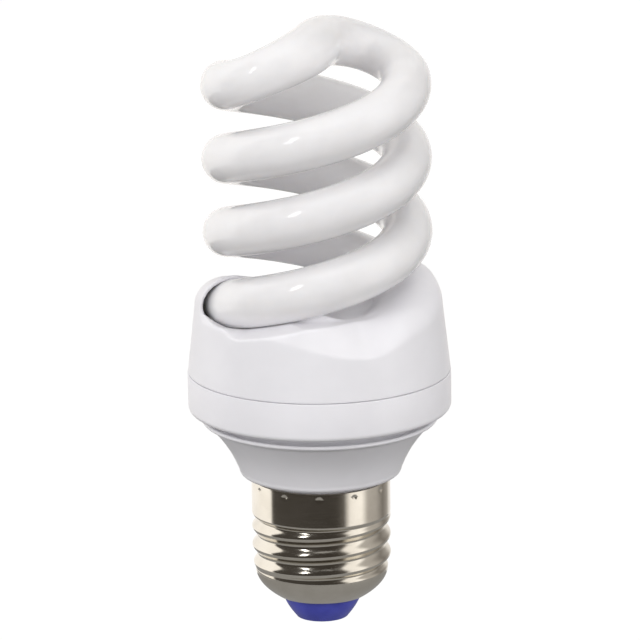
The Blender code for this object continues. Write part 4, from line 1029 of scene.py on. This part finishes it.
def reflector_light():
    """A glow whose tone changes with the azimuth round the object."""
    mat = bpy.data.materials.new("reflection_wall")
    mat.use_nodes = True
    tree = mat.node_tree
    tree.nodes.clear()
    place = tree.nodes.new('ShaderNodeTexCoord')
    split = tree.nodes.new('ShaderNodeSeparateXYZ')
    tree.links.new(place.outputs["Object"], split.inputs[0])
    across, depth = split.outputs[0], split.outputs[1]
    turn = maths(tree, 'ARCTAN2', across, maths(tree, 'MULTIPLY', depth, -1.0))
    share = maths(tree, 'ADD', maths(tree, 'DIVIDE', turn, TAU), 0.5)
    ramp = tree.nodes.new('ShaderNodeValToRGB')
    stops = ramp.color_ramp.elements
    while len(stops) < len(REFLECTOR_TONES):
        stops.new(0.5)
    for stop, (azimuth, tone, warmth) in zip(stops, REFLECTOR_TONES):
        stop.position = azimuth / 360 + 0.5
        stop.color = (tone, tone * warmth, tone * warmth * warmth, 1.0)
    tree.links.new(share, ramp.inputs["Fac"])
    glow = tree.nodes.new('ShaderNodeEmission')
    glow.inputs["Strength"].default_value = REFLECTOR_STRENGTH
    tree.links.new(ramp.outputs["Color"], glow.inputs["Color"])
    out = tree.nodes.new('ShaderNodeOutputMaterial')
    tree.links.new(glow.outputs[0], out.inputs["Surface"])
    return mat


def reflection_wall():
    """A round wall about the object that only reflections see, light and dark by azimuth."""
    bm = bmesh.new()
    rows = []
    for level in (REFLECTOR_FOOT, REFLECTOR_TOP):
        rows.append([bm.verts.new(polar(REFLECTOR_DISTANCE, TAU * i / REFLECTOR_STEPS, level))
                     for i in range(REFLECTOR_STEPS)])
    for i in range(REFLECTOR_STEPS):
        j = (i + 1) % REFLECTOR_STEPS
        bm.faces.new((rows[0][i], rows[0][j], rows[1][j], rows[1][i]))
    wall = new_object("reflection_wall", bm)
    wall.data.materials.append(reflector_light())
    wall.visible_camera = False
    wall.visible_diffuse = False
    wall.visible_transmission = False
    wall.visible_shadow = False
    wall.visible_volume_scatter = False


def make_world():
    """White where the camera and reflections look past the object, soft light elsewhere."""
    world = bpy.data.worlds.new("studio")
    bpy.context.scene.world = world
    world.use_nodes = True
    tree = world.node_tree
    tree.nodes.clear()
    path = tree.nodes.new('ShaderNodeLightPath')
    seen = maths(tree, 'MAXIMUM', maths(tree, 'MAXIMUM', path.outputs["Is Camera Ray"],
                                        path.outputs["Is Glossy Ray"]),
                 path.outputs["Is Transmission Ray"])
    ambient = tree.nodes.new('ShaderNodeBackground')
    ambient.inputs["Color"].default_value = (1.0, 0.985, 0.97, 1.0)
    ambient.inputs["Strength"].default_value = AMBIENT
    white = tree.nodes.new('ShaderNodeBackground')
    white.inputs["Color"].default_value = (1.0, 1.0, 1.0, 1.0)
    white.inputs["Strength"].default_value = 1.0
    mix = tree.nodes.new('ShaderNodeMixShader')
    out = tree.nodes.new('ShaderNodeOutputWorld')
    tree.links.new(seen, mix.inputs["Fac"])
    tree.links.new(ambient.outputs[0], mix.inputs[1])
    tree.links.new(white.outputs[0], mix.inputs[2])
    tree.links.new(mix.outputs[0], out.inputs["Surface"])


def make_camera():
    """The photograph's view: level with the cover, a little above, on a long lens."""
    ahead = Vector((0, math.cos(CAMERA_ELEVATION), -math.sin(CAMERA_ELEVATION)))
    side = Vector((1, 0, 0))
    up = side.cross(ahead)
    right = side * math.cos(CAMERA_ROLL) + up * math.sin(CAMERA_ROLL)
    upright = up * math.cos(CAMERA_ROLL) - side * math.sin(CAMERA_ROLL)
    data = bpy.data.cameras.new("camera")
    data.sensor_width = CAMERA_SENSOR
    data.lens = CAMERA_LENS
    data.clip_start = CAMERA_NEAR
    data.clip_end = CAMERA_FAR
    camera = bpy.data.objects.new("camera", data)
    eye = CAMERA_AIM - ahead * CAMERA_DISTANCE
    rows = Matrix((right, upright, -ahead)).transposed().to_4x4()
    camera.matrix_world = Matrix.Translation(eye) @ rows
    bpy.context.scene.collection.objects.link(camera)
    bpy.context.scene.camera = camera


def make_studio():
    """Camera, world, floor, the wall that the metal mirrors, and the lamps."""
    make_camera()
    make_world()
    bm = bmesh.new()
    corners = [bm.verts.new((x * FLOOR_SIZE, y * FLOOR_SIZE, FLOOR_LEVEL))
               for x, y in ((-1, -1), (1, -1), (1, 1), (-1, 1))]
    bm.faces.new(corners)
    floor = new_object("floor", bm)
    floor.data.materials.append(light_floor())
    reflection_wall()
    for name, azimuth, elevation, power in SOFTBOXES:
        light = softbox(name, azimuth, elevation, SOFTBOX_DISTANCE, SOFTBOX_WIDTH,
                        SOFTBOX_HEIGHT, power)
        light.visible_glossy = False
    softbox("key_lamp", KEY_AZIMUTH, KEY_ELEVATION, KEY_DISTANCE, KEY_WIDTH, KEY_HEIGHT, KEY_POWER)


def dress():
    """Make every visible piece and give the rest its finish."""
    plastic = housing_plastic()
    nickel = cap_nickel()
    made = (
        (make_glass_tube(phosphor_glass()), "spiral_tube", "tube_glass"),
        (make_cover(plastic), "top_cover", "housing_plastic"),
        (make_base(plastic), "base_housing", "housing_plastic"),
        (make_cap(nickel), "cap_shell", "cap_nickel"),
        (make_tip(tip_blue()), "cap_insulator", "tip_insulator"),
        (make_contact(nickel), "centre_contact", "contact_metal"),
    )
    for piece, node, slot in made:
        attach(piece, BODY)
        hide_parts(node)
    dress_inner_pieces()


bpy.context.scene.view_settings.view_transform = 'Standard'
dress()
make_studio()
